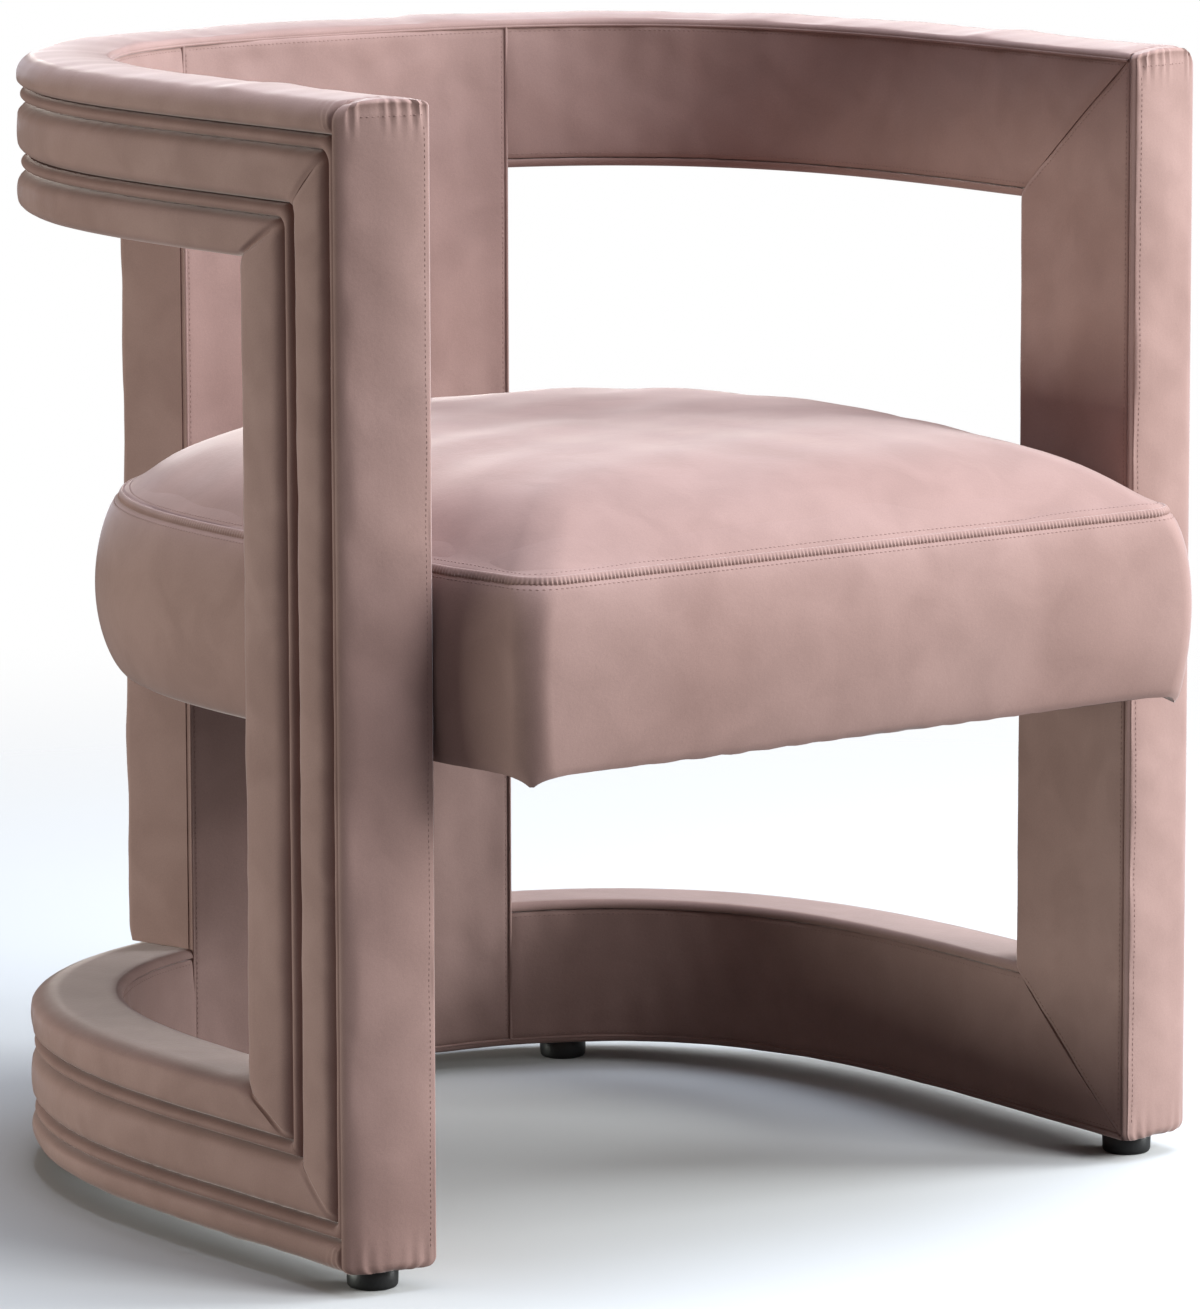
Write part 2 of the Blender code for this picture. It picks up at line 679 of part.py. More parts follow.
def make_feet(plastic, steel, timber):
    """Round feet, each held by a screw in its recess. timber maps a foot to what it screws into."""
    top = FOOT_HEIGHT - GAP
    recess = SCREW_HEAD + 2 * FOOT_BEVEL
    bore = SCREW_RADIUS + HOLE_CLEARANCE
    pocket = SCREW_HEAD_RADIUS + 2 * HOLE_CLEARANCE
    profile = [
        (pocket, 0.0),
        (FOOT_RADIUS - FOOT_BEVEL, 0.0),
        (FOOT_RADIUS, FOOT_BEVEL),
        (FOOT_RADIUS, top),
        (bore, top),
        (bore, recess),
        (pocket, recess),
    ]
    reach = FOOT_HEIGHT + EDGE_BAND + SCREW_GRIP
    for name, x, y in foot_places():
        foot = turned("foot_" + name, profile, plastic)
        foot.location = (x, y, 0.0)
        start = recess - GAP
        screw = headed_pin(
            "foot_screw_" + name, SCREW_RADIUS, SCREW_HEAD_RADIUS, SCREW_HEAD, reach - start, steel
        )
        screw.location = (x, y, start)
        hole = "foot_hole_" + name
        drill(hole, bore, reach + 2 * GAP, (x, y, 0.0), (0.0, 0.0, 0.0), timber[name])


def make_seat_bolts(steel, targets):
    """Two bolts a side, from inside the seat frame into the post. targets maps a side to pieces."""
    places = (("front", BOLT_EDGE), ("rear", POST_DEPTH - BOLT_EDGE))
    hole_radius = BOLT_RADIUS + HOLE_CLEARANCE
    for side_name, side in (("left", -1), ("right", 1)):
        for where, y in places:
            start = arm(y, side_out(y) - BOXING_PAD - 2 * GAP - FRAME_THICKNESS)[0]
            end = arm(y, CORE_OUT - BOLT_COVER)[0]
            turn = (0.0, side * math.pi / 2, 0.0)
            bolt = headed_pin(
                f"seat_bolt_{side_name}_{where}",
                BOLT_RADIUS,
                BOLT_HEAD_RADIUS,
                BOLT_HEAD,
                end - start,
                steel,
            )
            bolt.location = (side * start, y, BOLT_HEIGHT)
            bolt.rotation_euler = turn
            place = (side * (start - BOLT_HEAD), y, BOLT_HEIGHT)
            length = end - start + BOLT_HEAD + 2 * GAP
            hole = f"bolt_hole_{side_name}_{where}"
            drill(hole, hole_radius, length, place, turn, targets[side_name])


# ---------------------------------------------------------------- assembly
def clear_scene():
    for obj in list(bpy.data.objects):
        bpy.data.objects.remove(obj, do_unlink=True)


def main():
    clear_scene()
    fabric = material("velvet", (0.42, 0.27, 0.25), 0.75)
    welt = material("velvet_welt", (0.34, 0.21, 0.19), 0.75)
    foam = material("foam", (0.85, 0.80, 0.62), 0.95)
    ply = material("plywood", (0.62, 0.45, 0.28), 0.60)
    cloth = material("dust_cloth", (0.03, 0.03, 0.03), 0.90)
    plastic = material("black_plastic", (0.02, 0.02, 0.02), 0.45)
    steel = material("zinc_steel", (0.60, 0.60, 0.62), 0.35, 1.0)

    rails = (("top", True), ("bottom", False))
    sides = (("left", -1), ("right", 1))
    cores = {}
    edge_rolls = {}
    for rail_name, is_top in rails:
        cores[rail_name] = make_rail_core(rail_name + "_rail_core", is_top, ply)
        edge_rolls[rail_name] = make_edge_roll(rail_name + "_edge_roll", is_top, fabric)
        for k, band in enumerate(BAND_NAMES):
            surface = welt if "welt" in band else fabric
            make_rail_band(f"{rail_name}_{band}", is_top, k, surface)
        for side_name, side in sides:
            make_rail_inner_pad(f"{rail_name}_inner_pad_{side_name}", is_top, side, fabric)
            make_rail_reveal(f"{rail_name}_reveal_pad_{side_name}", is_top, side, fabric)
    inner_pads = {}
    for side_name, side in sides:
        cores[side_name] = make_post_core(f"post_core_{side_name}", side, ply)
        make_front_pad(f"post_front_pad_{side_name}", side, fabric)
        inner_pads[side_name] = make_post_inner_pad(f"post_inner_pad_{side_name}", side, fabric)
        make_post_reveal(f"post_reveal_pad_{side_name}", side, fabric)
        for k, band in enumerate(BAND_NAMES):
            surface = welt if "welt" in band else fabric
            make_post_band(f"post_{band}_{side_name}", side, k, surface)
    make_back_core(ply)
    make_back_inner_pad(fabric)
    make_back_outer_pad(fabric)

    boards = make_seat_frame(ply)
    boxing = make_boxing(fabric)
    make_seat_top(fabric)
    make_seat_foam(foam)
    make_sheet("seat_deck", BOXING_PAD + GAP, DECK_BOTTOM, DECK_TOP, ply)
    make_sheet("seat_dust_cover", BOXING_ROUND, SEAT_BOTTOM - DUST_COVER, SEAT_BOTTOM, cloth)

    cover = edge_rolls["bottom"]
    timber = {
        "front_left": [cover, cores["left"]],
        "front_right": [cover, cores["right"]],
        "back_left": [cover, cores["bottom"]],
        "back_right": [cover, cores["bottom"]],
    }
    make_feet(plastic, steel, timber)
    targets = {}
    for (side_name, _), board in zip(sides, boards[1:3]):
        targets[side_name] = [board, boxing, inner_pads[side_name], cores[side_name]]
    make_seat_bolts(steel, targets)
    for obj in bpy.data.objects:
        obj.location.y -= CENTRE_Y
    bpy.context.view_layer.update()


main()
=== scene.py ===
"""Looks of the barrel chair: velvet upholstery, thread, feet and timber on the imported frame.

Everything is in metres in the frame's own axes: +Z up, front towards -Y. A point of the wall
is (c, out, z): c runs along the inner face from the middle of the back, positive towards +X,
and `out` is the distance from that face.
"""

import math

import bmesh
import bpy
import numpy as np
from mathutils import Matrix, Vector
from mathutils.bvhtree import BVHTree


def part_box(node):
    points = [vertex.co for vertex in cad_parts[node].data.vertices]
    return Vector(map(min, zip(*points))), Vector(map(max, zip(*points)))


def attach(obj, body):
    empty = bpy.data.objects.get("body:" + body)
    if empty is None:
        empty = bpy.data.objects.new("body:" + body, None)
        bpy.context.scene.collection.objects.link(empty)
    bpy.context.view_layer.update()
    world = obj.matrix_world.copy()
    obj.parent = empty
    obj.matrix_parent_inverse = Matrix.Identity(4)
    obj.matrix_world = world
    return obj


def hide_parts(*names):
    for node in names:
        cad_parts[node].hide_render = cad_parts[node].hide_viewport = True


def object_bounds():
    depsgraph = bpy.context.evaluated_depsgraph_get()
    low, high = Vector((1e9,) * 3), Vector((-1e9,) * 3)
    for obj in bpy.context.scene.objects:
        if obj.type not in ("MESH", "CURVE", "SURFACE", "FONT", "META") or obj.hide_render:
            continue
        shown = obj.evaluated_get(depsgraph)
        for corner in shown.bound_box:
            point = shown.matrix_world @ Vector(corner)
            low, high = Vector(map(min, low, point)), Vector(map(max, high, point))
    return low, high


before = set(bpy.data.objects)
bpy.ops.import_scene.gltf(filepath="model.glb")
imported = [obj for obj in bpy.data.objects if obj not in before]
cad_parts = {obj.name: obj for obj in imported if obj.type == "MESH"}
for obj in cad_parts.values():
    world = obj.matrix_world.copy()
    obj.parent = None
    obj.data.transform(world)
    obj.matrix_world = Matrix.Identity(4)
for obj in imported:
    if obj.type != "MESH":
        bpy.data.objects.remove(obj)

cad_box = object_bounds()


def low(node):
    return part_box(node)[0]


def high(node):
    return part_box(node)[1]


# ---- sizes the CAD source states
WALL = 0.060
ROLL = 0.020
PAD = 0.012
ARM_LENGTH = 0.1917
FRONT_HALF_WIDTH = 0.2732
SQUARENESS = 2.8
POST_DEPTH = 0.120
FRONT_SETBACK = 0.013
POST_EDGE_BAND = 0.004
FRONT_PAD = 0.007
PANEL_HALF_WIDTH = 0.130
SEAM_DROP = 0.004
BACK_CROWN = 0.013
SEAT_OVERHANG = 0.080
SEAT_CLEARANCE = 0.0015
BOXING_PAD = 0.014
GAP = 0.0003

# ---- sizes read from the frame
HEIGHT = cad_box[1].z
FOOT_HEIGHT = low("bottom_edge_roll").z
WINDOW_TOP = low("top_window_roll").z
WINDOW_BOTTOM = high("bottom_window_roll").z
FRONT_Y = high("post_window_roll_left").y - POST_DEPTH
INNER_HALF_WIDTH = high("top_middle_roll").x - WALL
INNER_BACK = high("top_middle_roll").y - WALL - FRONT_Y - ARM_LENGTH
RAIL_HEIGHT = HEIGHT - WINDOW_TOP
INNER_TOP = RAIL_HEIGHT - SEAM_DROP
SEAT_BOTTOM = low("seat_boxing").z
SEAM_HEIGHT = high("seat_boxing").z
SEAT_TOP = high("seat_top_cover").z
FOOT_NODES = [f"foot_{end}_{side}" for end in ("front", "back") for side in ("left", "right")]

BANDS = ["window_roll", "inner_welt", "middle_roll", "outer_welt"]


def band_edges():
    """Distances from the window to the edges of the channels, on the rails and on the posts."""
    rail, post = [0.0], [0.0]
    window_side = high("post_window_roll_left").y
    for first, second in zip(BANDS, BANDS[1:]):
        rail.append((high("top_" + first).z + low("top_" + second).z) / 2 - WINDOW_TOP)
        near, far = low(f"post_{first}_left").y, high(f"post_{second}_left").y
        post.append(window_side - (near + far) / 2)
    rail.append(high("top_outer_welt").z + GAP - WINDOW_TOP)
    post.append(window_side - low("post_outer_welt_left").y + GAP)
    return rail, post


RAIL_EDGES, POST_EDGES = band_edges()

# ---- looks of the upholstery
SEAT_FRONT_HALF_WIDTH = 0.264  # 6 mm more than the CAD's plain solid
SEAT_CORNER = 0.018
SEAM_ROUNDING = 0.6  # growth of the corner radius with the distance inside the outline
SEAT_INSET = 0.010  # from the boxing's fullest line in to the top seam
BOTTOM_INSET = 0.006  # the same at its bottom
SEAM_SWELL = 0.008  # how far the seat's seam swells into the windows
SIDE_SWELL = 0.016  # how far the middle of the boxing does
BOXING_STEPS = 44
EAR_IN = 0.012  # from the outline's corner in to the point that hangs from the boxing
EAR_DROP = 0.0075
EAR_REACH = 0.007
GROOVE = 0.0105  # depth of the grooves beside the welts
WELT_SINK = 0.0022  # how far a welt's crest lies behind the rolls
ROLL_SHOULDER = 0.0095  # how far the rounding beside a groove reaches across a roll
WINDOW_SHOULDER = 0.0115  # the same beside a window
WINDOW_DROP = 0.004  # what that rounding leaves of a roll's depth
ROLL_CROWN = 0.0022
TOP_CROWN = 0.003
EDGE_RADIUS = 0.011  # the wall's outer edge
INNER_RADIUS = 0.003  # its inner edge
REVEAL_RADIUS = 0.005  # its edge round a window
REVEAL_SEAM = 0.0062  # height of the seam above a window, on the inner face of a rail
TOP_RADII = [0.003, 0.009, 0.010, 0.011, 0.012]  # corners of the channels' edges, window first
BOTTOM_RADII = [0.003, 0.0045, 0.005, 0.006, 0.006]
REVEAL_LIP = 0.0032  # depth, at that seam, of the turned edge
SEAM_DIP = 0.0006  # how far a plain seam draws the padding in
SEAM_REACH = 0.002
ROW_FROM_EDGE = 0.0032  # how far a row of stitches runs from its seam
PANEL_SEAM = 0.0042  # where the side of the back panel is seamed to its inner face
PANEL_LAP = 0.0006  # how far its flange covers the ends of the rails
PANEL_ROUNDING = 0.008  # its outer edges
ARC_STEPS = 9
RAIL_STEPS = 230
POST_STEPS = 120
SIDE_STEPS = 120
ACROSS_STEPS = 20
SHARP_ANGLE = math.radians(48)
PINCH_REACH = 0.0022  # how far a mitre's pinch reaches along a roll

# How full of foam or wadding each kind of cover is
WELT_FILL = 0.95
ROLL_FILL = 0.85
FACE_FILL = 0.8
BACK_FILL = 0.75
REVEAL_FILL = 0.7
SEAT_FILL = 0.9

# Lumps of the covers: height, size and seed of the broad ones, then of the small ones
LUMPS = {
    "edge": ((0.0005, 0.10, 5), (0.00025, 0.03, 8)),
    "post_front": ((0.0005, 0.11, 21), (0.0003, 0.04, 22)),
    "post_inner": ((0.0005, 0.10, 31), (0.0002, 0.03, 32)),
    "rail_inner": ((0.0006, 0.12, 41), (0.00025, 0.035, 44)),
    "back_inner": ((0.0006, 0.13, 61), (0.0003, 0.04, 62)),
    "back_outer": ((0.0007, 0.12, 71), (0.0003, 0.04, 72)),
    "boxing": ((0.0011, 0.22, 81), (0.0002, 0.06, 82)),
}

# Folds of the covers: height, pitch and seed, then where they are highest and how far they reach
FOLDS = {
    "edge_pleats": (0.0010, 0.0052, 9, 0.006, 0.013),
    "edge_seam": (0.0007, 0.0058, 14, 0.0, 0.007),
    "post_top": (0.0011, 0.0066, 17, 0.005, 0.010),
    "post_foot": (0.0007, 0.009, 19, 0.002, 0.010),
}

# ---- plan of the wall
TABLE_STEPS = 6001
TABLE_POWER = 1.8


def spread(step):
    """A share of the right angle, crowded at both ends, where the curve is flat."""
    return step**TABLE_POWER / (step**TABLE_POWER + (1 - step) ** TABLE_POWER)


def superellipse(angle):
    """The inner face round the back, where its normal has this angle from +X."""
    power = SQUARENESS / (SQUARENESS - 1)
    across = (INNER_HALF_WIDTH * np.maximum(np.cos(angle), 0)) ** power
    deep = (INNER_BACK * np.sin(angle)) ** power
    x = INNER_HALF_WIDTH * (across / (across + deep)) ** (1 / SQUARENESS)
    y = ARM_LENGTH + INNER_BACK * (deep / (across + deep)) ** (1 / SQUARENESS)
    return x, y


TABLE_T = np.linspace(0, 1, TABLE_STEPS)
TABLE_X, TABLE_Y = superellipse(spread(TABLE_T) * math.pi / 2)
TABLE_S = np.append(0.0, np.cumsum(np.hypot(np.diff(TABLE_X), np.diff(TABLE_Y))))
HALF = ARM_LENGTH + TABLE_S[-1]
PANEL_C = TABLE_S[-1] - np.interp(PANEL_HALF_WIDTH, TABLE_X[::-1], TABLE_S[::-1])
POST_C = HALF - POST_DEPTH


def plan(c, out):
    """x and y of points of the wall."""
    along = HALF - np.abs(c)
    angle = spread(np.interp(along - ARM_LENGTH, TABLE_S, TABLE_T)) * math.pi / 2
    curve_x, curve_y = superellipse(angle)
    slope = (INNER_HALF_WIDTH - FRONT_HALF_WIDTH) / ARM_LENGTH
    straight = along < ARM_LENGTH
    x = np.where(straight, FRONT_HALF_WIDTH + slope * along, curve_x) + out * np.cos(angle)
    y = np.where(straight, along, curve_y) + out * np.sin(angle)
    return np.where(c < 0, -x, x), y + FRONT_Y


def wall_points(c, out, z):
    c, out, z = np.broadcast_arrays(c, out, z)
    x, y = plan(c, out)
    return np.stack([x, y, z], -1)


def front_y(out):
    return FRONT_SETBACK * out / WALL


def front_pad_y(out):
    return FRONT_PAD + (FRONT_SETBACK + POST_EDGE_BAND - FRONT_PAD) * out / WALL


def rail_z(is_top, distance):
    return WINDOW_TOP + distance if is_top else WINDOW_BOTTOM - distance


# ---- small tools
RIPPLE_WAVES = 7
UP = np.array([0.0, 0.0, 1.0])


def ripple(u, v, size, seed):
    """Smooth, repeatable unevenness of about -1 to 1 over a surface, with lumps of this size."""
    rng = np.random.default_rng(seed)
    total = 0.0
    for _ in range(RIPPLE_WAVES):
        angle, phase = rng.uniform(0, 2 * math.pi, 2)
        pitch = 2 * math.pi / size * rng.uniform(0.6, 1.6)
        total = total + np.sin(pitch * (u * math.cos(angle) + v * math.sin(angle)) + phase)
    return total / RIPPLE_WAVES**0.5


def lumps_of(kind, u, v, more_seed=0):
    """Unevenness of one kind of cover, in metres."""
    (height, size, seed), (low_height, low_size, low_seed) = LUMPS[kind]
    broad = height * ripple(u, v, size, seed + more_seed)
    return broad + low_height * ripple(u, v, low_size, low_seed)


def gathers(place, pitch, seed):
    """Uneven little folds along a line, about -1 to 1, this far apart on average."""
    drift = 0.9 * ripple(place, 0 * place, pitch * 6, seed)
    strength = 0.55 + 0.45 * ripple(place, 0 * place, pitch * 4, seed + 1)
    return np.cos(2 * math.pi * place / pitch + drift) * strength


def folds_of(kind, place, distance):
    """Folds of one kind of cover along a line, dying out with the distance, in metres."""
    height, pitch, seed, crest, reach = FOLDS[kind]
    return height * gathers(place, pitch, seed) * bell(distance - crest, reach)


def eased(count):
    """Shares from 0 to 1, crowded at both ends."""
    return (1 - np.cos(np.linspace(0, math.pi, count))) / 2


def shoulder(distance, radius):
    """Rises from 0 to 1 over a quarter round."""
    return np.sqrt(np.maximum(1 - (1 - np.clip(distance / radius, 0, 1)) ** 2, 0))


def bell(distance, reach):
    return np.exp(-((distance / reach) ** 2))


def smooth(value):
    value = np.clip(value, 0, 1)
    return value * value * (3 - 2 * value)


def tube(rings, loop=False):
    """Vertices and faces of a solid through closed rings, capped unless it is a loop."""
    count, size = rings.shape[:2]
    index = np.arange(count * size).reshape(count, size)
    if loop:
        index = np.vstack([index, index[:1]])
    beside = np.roll(index, -1, axis=1)
    faces = np.stack([index[:-1], beside[:-1], beside[1:], index[1:]], -1).reshape(-1, 4).tolist()
    if not loop:
        faces += [index[0][::-1].tolist(), index[-1].tolist()]
    return rings.reshape(-1, 3), faces


def add_piece(name, points, faces, surface, nodes=(), slot="velvet", fill=None):
    """One closed mesh of the object, riding on the frame."""
    mesh = bpy.data.meshes.new(name)
    mesh.from_pydata(np.asarray(points).tolist(), [], faces)
    bm = bmesh.new()
    bm.from_mesh(mesh)
    bmesh.ops.recalc_face_normals(bm, faces=bm.faces)
    bm.to_mesh(mesh)
    bm.free()
    mesh.shade_smooth()
    mesh.set_sharp_from_angle(angle=SHARP_ANGLE)
    mesh.materials.append(surface)
    obj = bpy.data.objects.new(name, mesh)
    bpy.context.scene.collection.objects.link(obj)
    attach(obj, "root")
    if nodes:
        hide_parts(*nodes)
    return obj


def add_cover(node, rings, surface, fill, slot="velvet", loop=False):
    """The cover that stands for one plain solid of the frame."""
    add_piece(node + "_cover", *tube(rings, loop), surface, [node], slot, fill)


def unit(vectors):
    return vectors / np.linalg.norm(vectors, axis=1, keepdims=True)


def travelled(points):
    """Distance along a path to each of its points."""
    return np.append(0, np.cumsum(np.linalg.norm(np.diff(points, axis=0), axis=1)))


def sampled(values, travel, place):
    """Vectors given along a path, at other places on it."""
    return np.stack([np.interp(place, travel, values[:, k]) for k in range(3)], -1)


def mirrored(rings, side):
    return rings * np.array([side, 1, 1])


# ---- channels of the outer face
# Ends of a channel, as (at the top, side of the chair, first angle, last angle) of its corner.
CHANNEL_ENDS = {
    "top": ((True, -1, 135, 90), (True, 1, 90, 45)),
    "bottom": ((False, -1, 225, 270), (False, 1, 270, 315)),
    "left": ((True, -1, 135, 180), (False, -1, 180, 225)),
    "right": ((True, 1, 45, 0), (False, 1, 0, -45)),
}


def channel_corner(k, at_top, side, first, last):
    """(c, z) round half of one corner of edge k of the channels, up to its mitre."""
    radius = (TOP_RADII if at_top else BOTTOM_RADII)[k]
    centre_c = side * (POST_C + POST_EDGES[k] - radius)
    centre_z = rail_z(at_top, RAIL_EDGES[k] - radius)
    angle = np.radians(np.linspace(first, last, ARC_STEPS))
    return np.stack([centre_c + radius * np.cos(angle), centre_z + radius * np.sin(angle)])


def channel_edge(k, part):
    """(c, z) along one edge of the channels, from mitre to mitre on this side of the frame."""
    first, last = (channel_corner(k, *end) for end in CHANNEL_ENDS[part])
    steps = RAIL_STEPS if part in ("top", "bottom") else POST_STEPS
    between = [np.linspace(a, b, steps)[1:-1] for a, b in zip(first[:, -1], last[:, 0])]
    return np.hstack([first, np.stack(between), last])


def channel_relief(band, distance, width, u):
    """How far out the face of a channel lies, at these distances from its near edge."""
    if "welt" in band:
        side = shoulder(np.minimum(distance, width - distance), width / 2)
        return WALL - WELT_SINK - (GROOVE - WELT_SINK) * (1 - side)
    near_round = WINDOW_SHOULDER if band == "window_roll" else ROLL_SHOULDER
    near_depth = ROLL - WINDOW_DROP if band == "window_roll" else GROOVE
    near = near_depth * (1 - shoulder(distance, near_round))
    far = GROOVE * (1 - shoulder(width - distance, ROLL_SHOULDER))
    return WALL - near - far - ROLL_CROWN * (2 * u - 1) ** 2


ROLL_LUMPS = 0.00045
WELT_LUMPS = 0.00012
PUCKER_PITCH = 0.017  # puckers of the middle roll along its outer groove
PUCKER_HEIGHT = 0.0006
CORNER_PITCH = 0.0065  # folds of the window roll at its corners
CORNER_REACH = 0.014
CORNER_FOLDS = 0.0004
LOW_CORNER_FOLDS = 0.0014  # what the two lower corners have more
CORNER_TUCK = 0.0045

# How deep the seam across a mitre draws each channel in
MITRE_PINCH = {"window_roll": 0.0034, "inner_welt": 0.0, "middle_roll": 0.0016, "outer_welt": 0.0}


def make_channel(part, k, surface):
    """One roll or welt of the outer face, on a rail or a post."""
    band = BANDS[k]
    near, far = channel_edge(k, part), channel_edge(k + 1, part)
    u = eased(ACROSS_STEPS)
    margin = GAP / np.hypot(*(far - near))[:, None]
    near_margin = 0 * margin if band == "window_roll" else margin
    u = near_margin + (1 - margin - near_margin) * u
    c = near[0][:, None] * (1 - u) + far[0][:, None] * u
    z = near[1][:, None] * (1 - u) + far[1][:, None] * u
    width = np.hypot(*(far - near))[:, None]
    out = channel_relief(band, u * width, width, u)
    middle = (near + far) / 2
    travel = np.append(0, np.cumsum(np.hypot(*np.diff(middle))))[:, None]
    from_end = np.minimum(travel, travel[-1] - travel)
    seed = 11 * k + len(part)
    loose = np.sin(math.pi * u) ** 0.5
    lumps = ROLL_LUMPS if "roll" in band else WELT_LUMPS
    out = out + lumps * loose * (ripple(c, z, 0.09, seed) + 0.5 * ripple(c, z, 0.03, seed + 1))
    out = out - MITRE_PINCH[band] * bell(from_end, PINCH_REACH) * loose
    if band == "middle_roll":
        puckers = gathers(travel, PUCKER_PITCH, seed + 2) * bell((1 - u) * width, 0.012)
        out = out + PUCKER_HEIGHT * puckers * smooth(from_end / 0.02)
    if band == "window_roll":
        is_low = np.clip(1 - (z - WINDOW_BOTTOM) / 0.05, 0, 1) * (z < 0.3)
        folds = gathers(from_end, CORNER_PITCH, seed) * bell(from_end, CORNER_REACH) * (1 - u) ** 0.5
        out = out + folds * loose * (CORNER_FOLDS + LOW_CORNER_FOLDS * is_low)
        out = out - CORNER_TUCK * bell(np.hypot(from_end, u * width - 0.004), 0.005)
    inner = np.full((len(c), 1), WALL - ROLL + (0.0 if band == "window_roll" else GAP))
    c = np.hstack([c, c[:, -1:], c[:, :1]])
    z = np.hstack([z, z[:, -1:], z[:, :1]])
    out = np.hstack([out, inner, inner])
    name = f"{part}_{band}" if part in ("top", "bottom") else f"post_{band}_{part}"
    slot, fill = ("velvet_welt", WELT_FILL) if "welt" in band else ("velvet", ROLL_FILL)
    add_cover(name, wall_points(c, out, z), surface, fill, slot)


def crown_rise(out):
    """Swelling of the wall's top between its two edges."""
    return TOP_CROWN * np.sin(math.pi * np.clip(out / WALL, 0, 1)) ** 0.8


def edge_outline(crown_share):
    """(out, distance) round the section of an edge cover, starting in the groove by the welt."""
    first = RAIL_EDGES[-1] + GAP
    turn = np.linspace(0, math.pi / 2, 9)
    out = [WALL - GROOVE * (1 - np.sin(turn)), WALL - EDGE_RADIUS * (1 - np.cos(turn))]
    far = [first + 0.0055 * (1 - np.cos(turn)), RAIL_HEIGHT - EDGE_RADIUS * (1 - np.sin(turn))]
    flat = np.linspace(WALL - EDGE_RADIUS, INNER_RADIUS, 16)[1:-1]
    out += [flat, INNER_RADIUS * (1 - np.sin(turn))]
    far += [np.full(len(flat), RAIL_HEIGHT), RAIL_HEIGHT - INNER_RADIUS * (1 - np.cos(turn))]
    out += [np.array([0.0018, PAD + GAP, PAD + GAP])]
    far += [np.array([INNER_TOP + GAP, INNER_TOP + GAP, first])]
    out, far = np.concatenate(out), np.concatenate(far)
    share = np.clip((far - RAIL_HEIGHT + EDGE_RADIUS) / EDGE_RADIUS, 0, 1)
    return out, far + crown_share * share * crown_rise(out)


def make_edge_cover(is_top, surface):
    """The cover over the wall's top or bottom, gathered at both posts."""
    name = ("top" if is_top else "bottom") + "_edge_roll"
    out, far = edge_outline(1.0 if is_top else 0.3)
    end = HALF - front_pad_y(out) - GAP
    ends = np.linspace(0, 0.03, 30)[:-1]
    t = np.linspace(ends[-1], HALF, RAIL_STEPS // 2)[1:]
    from_end = np.concatenate([ends, t])[:, None]
    c_left = -end + from_end * (end / HALF)
    c = np.vstack([c_left, -c_left[-2::-1]])
    from_end = np.vstack([from_end, from_end[-2::-1]])
    outer = np.clip((out - WALL + 0.012) / 0.012, 0, 1)
    top = np.clip((far - RAIL_EDGES[-1]) / 0.004, 0, 1)
    surface_share = np.where(out > PAD, top, np.where(far > INNER_TOP, 1.0, 0.0))
    lumps = lumps_of("edge", c, far, is_top)
    height_share = np.clip((far - RAIL_EDGES[-1]) / (RAIL_HEIGHT - RAIL_EDGES[-1]), 0, 1)
    fan = from_end / (0.45 + 0.75 * height_share)
    pleats = folds_of("edge_pleats", fan, fan)
    sink = 0.0045 * bell(from_end, 0.003)
    moved_out = out + outer * top * (lumps + pleats - sink)
    inside = smooth((WALL - out) / 0.01) * smooth((out - 0.001) / 0.004) * (far > RAIL_HEIGHT - 0.001)
    seam_folds = folds_of("edge_seam", out, from_end)
    moved_far = far + inside * (lumps * surface_share + seam_folds - 0.0008 * bell(from_end, 0.0025))
    z = rail_z(is_top, moved_far)
    add_cover(name, wall_points(c, moved_out, z), surface, ROLL_FILL)


# ---- posts
def front_contour():
    """(out, y) round a post's front cover, from its seam on the inner face to the outer welt."""
    turn = np.linspace(0, math.pi / 2, 9)
    band_y = np.linspace(FRONT_PAD - GAP, 0.0016, 9)
    band_out = 0.0016 - 0.0024 * np.sin(math.pi * eased(9)) ** 0.6
    near = 0.0034
    edge_out = near - near * 0.55 * np.cos(turn)
    edge_y = 0.0012 - 0.0004 * np.sin(turn)
    broad, bulge = 0.023, 0.0032
    flat = np.linspace(near, WALL - broad, 20)
    flat_y = front_y(flat) - bulge * np.sin(math.pi * (flat - near) / (WALL - near)) ** 0.8
    slope = (flat_y[-1] - flat_y[-2]) / (flat[-1] - flat[-2])
    t = np.linspace(0, 1, 22)
    corner_y = FRONT_SETBACK + POST_EDGE_BAND - 0.0008
    guide_out = np.array([WALL - broad, WALL - 0.42 * broad, WALL, WALL])
    guide_y = np.array([flat_y[-1], flat_y[-1] + 0.58 * broad * slope, corner_y - 0.0055, corner_y])
    weights = np.stack([(1 - t) ** 3, 3 * t * (1 - t) ** 2, 3 * t * t * (1 - t), t**3])
    round_out, round_y = guide_out @ weights, guide_y @ weights
    face, face_y = flat[1:-1], flat_y[1:-1]
    groove_out = WALL - GROOVE * (1 - np.cos(turn))
    end_y = FRONT_SETBACK + POST_EDGE_BAND - GAP
    groove_y = corner_y + (end_y - corner_y) * np.sin(turn)
    out = np.concatenate([band_out, edge_out[1:], face, round_out, groove_out[1:]])
    y = np.concatenate([band_y, edge_y[1:], face_y, round_y, groove_y[1:]])
    return out, y


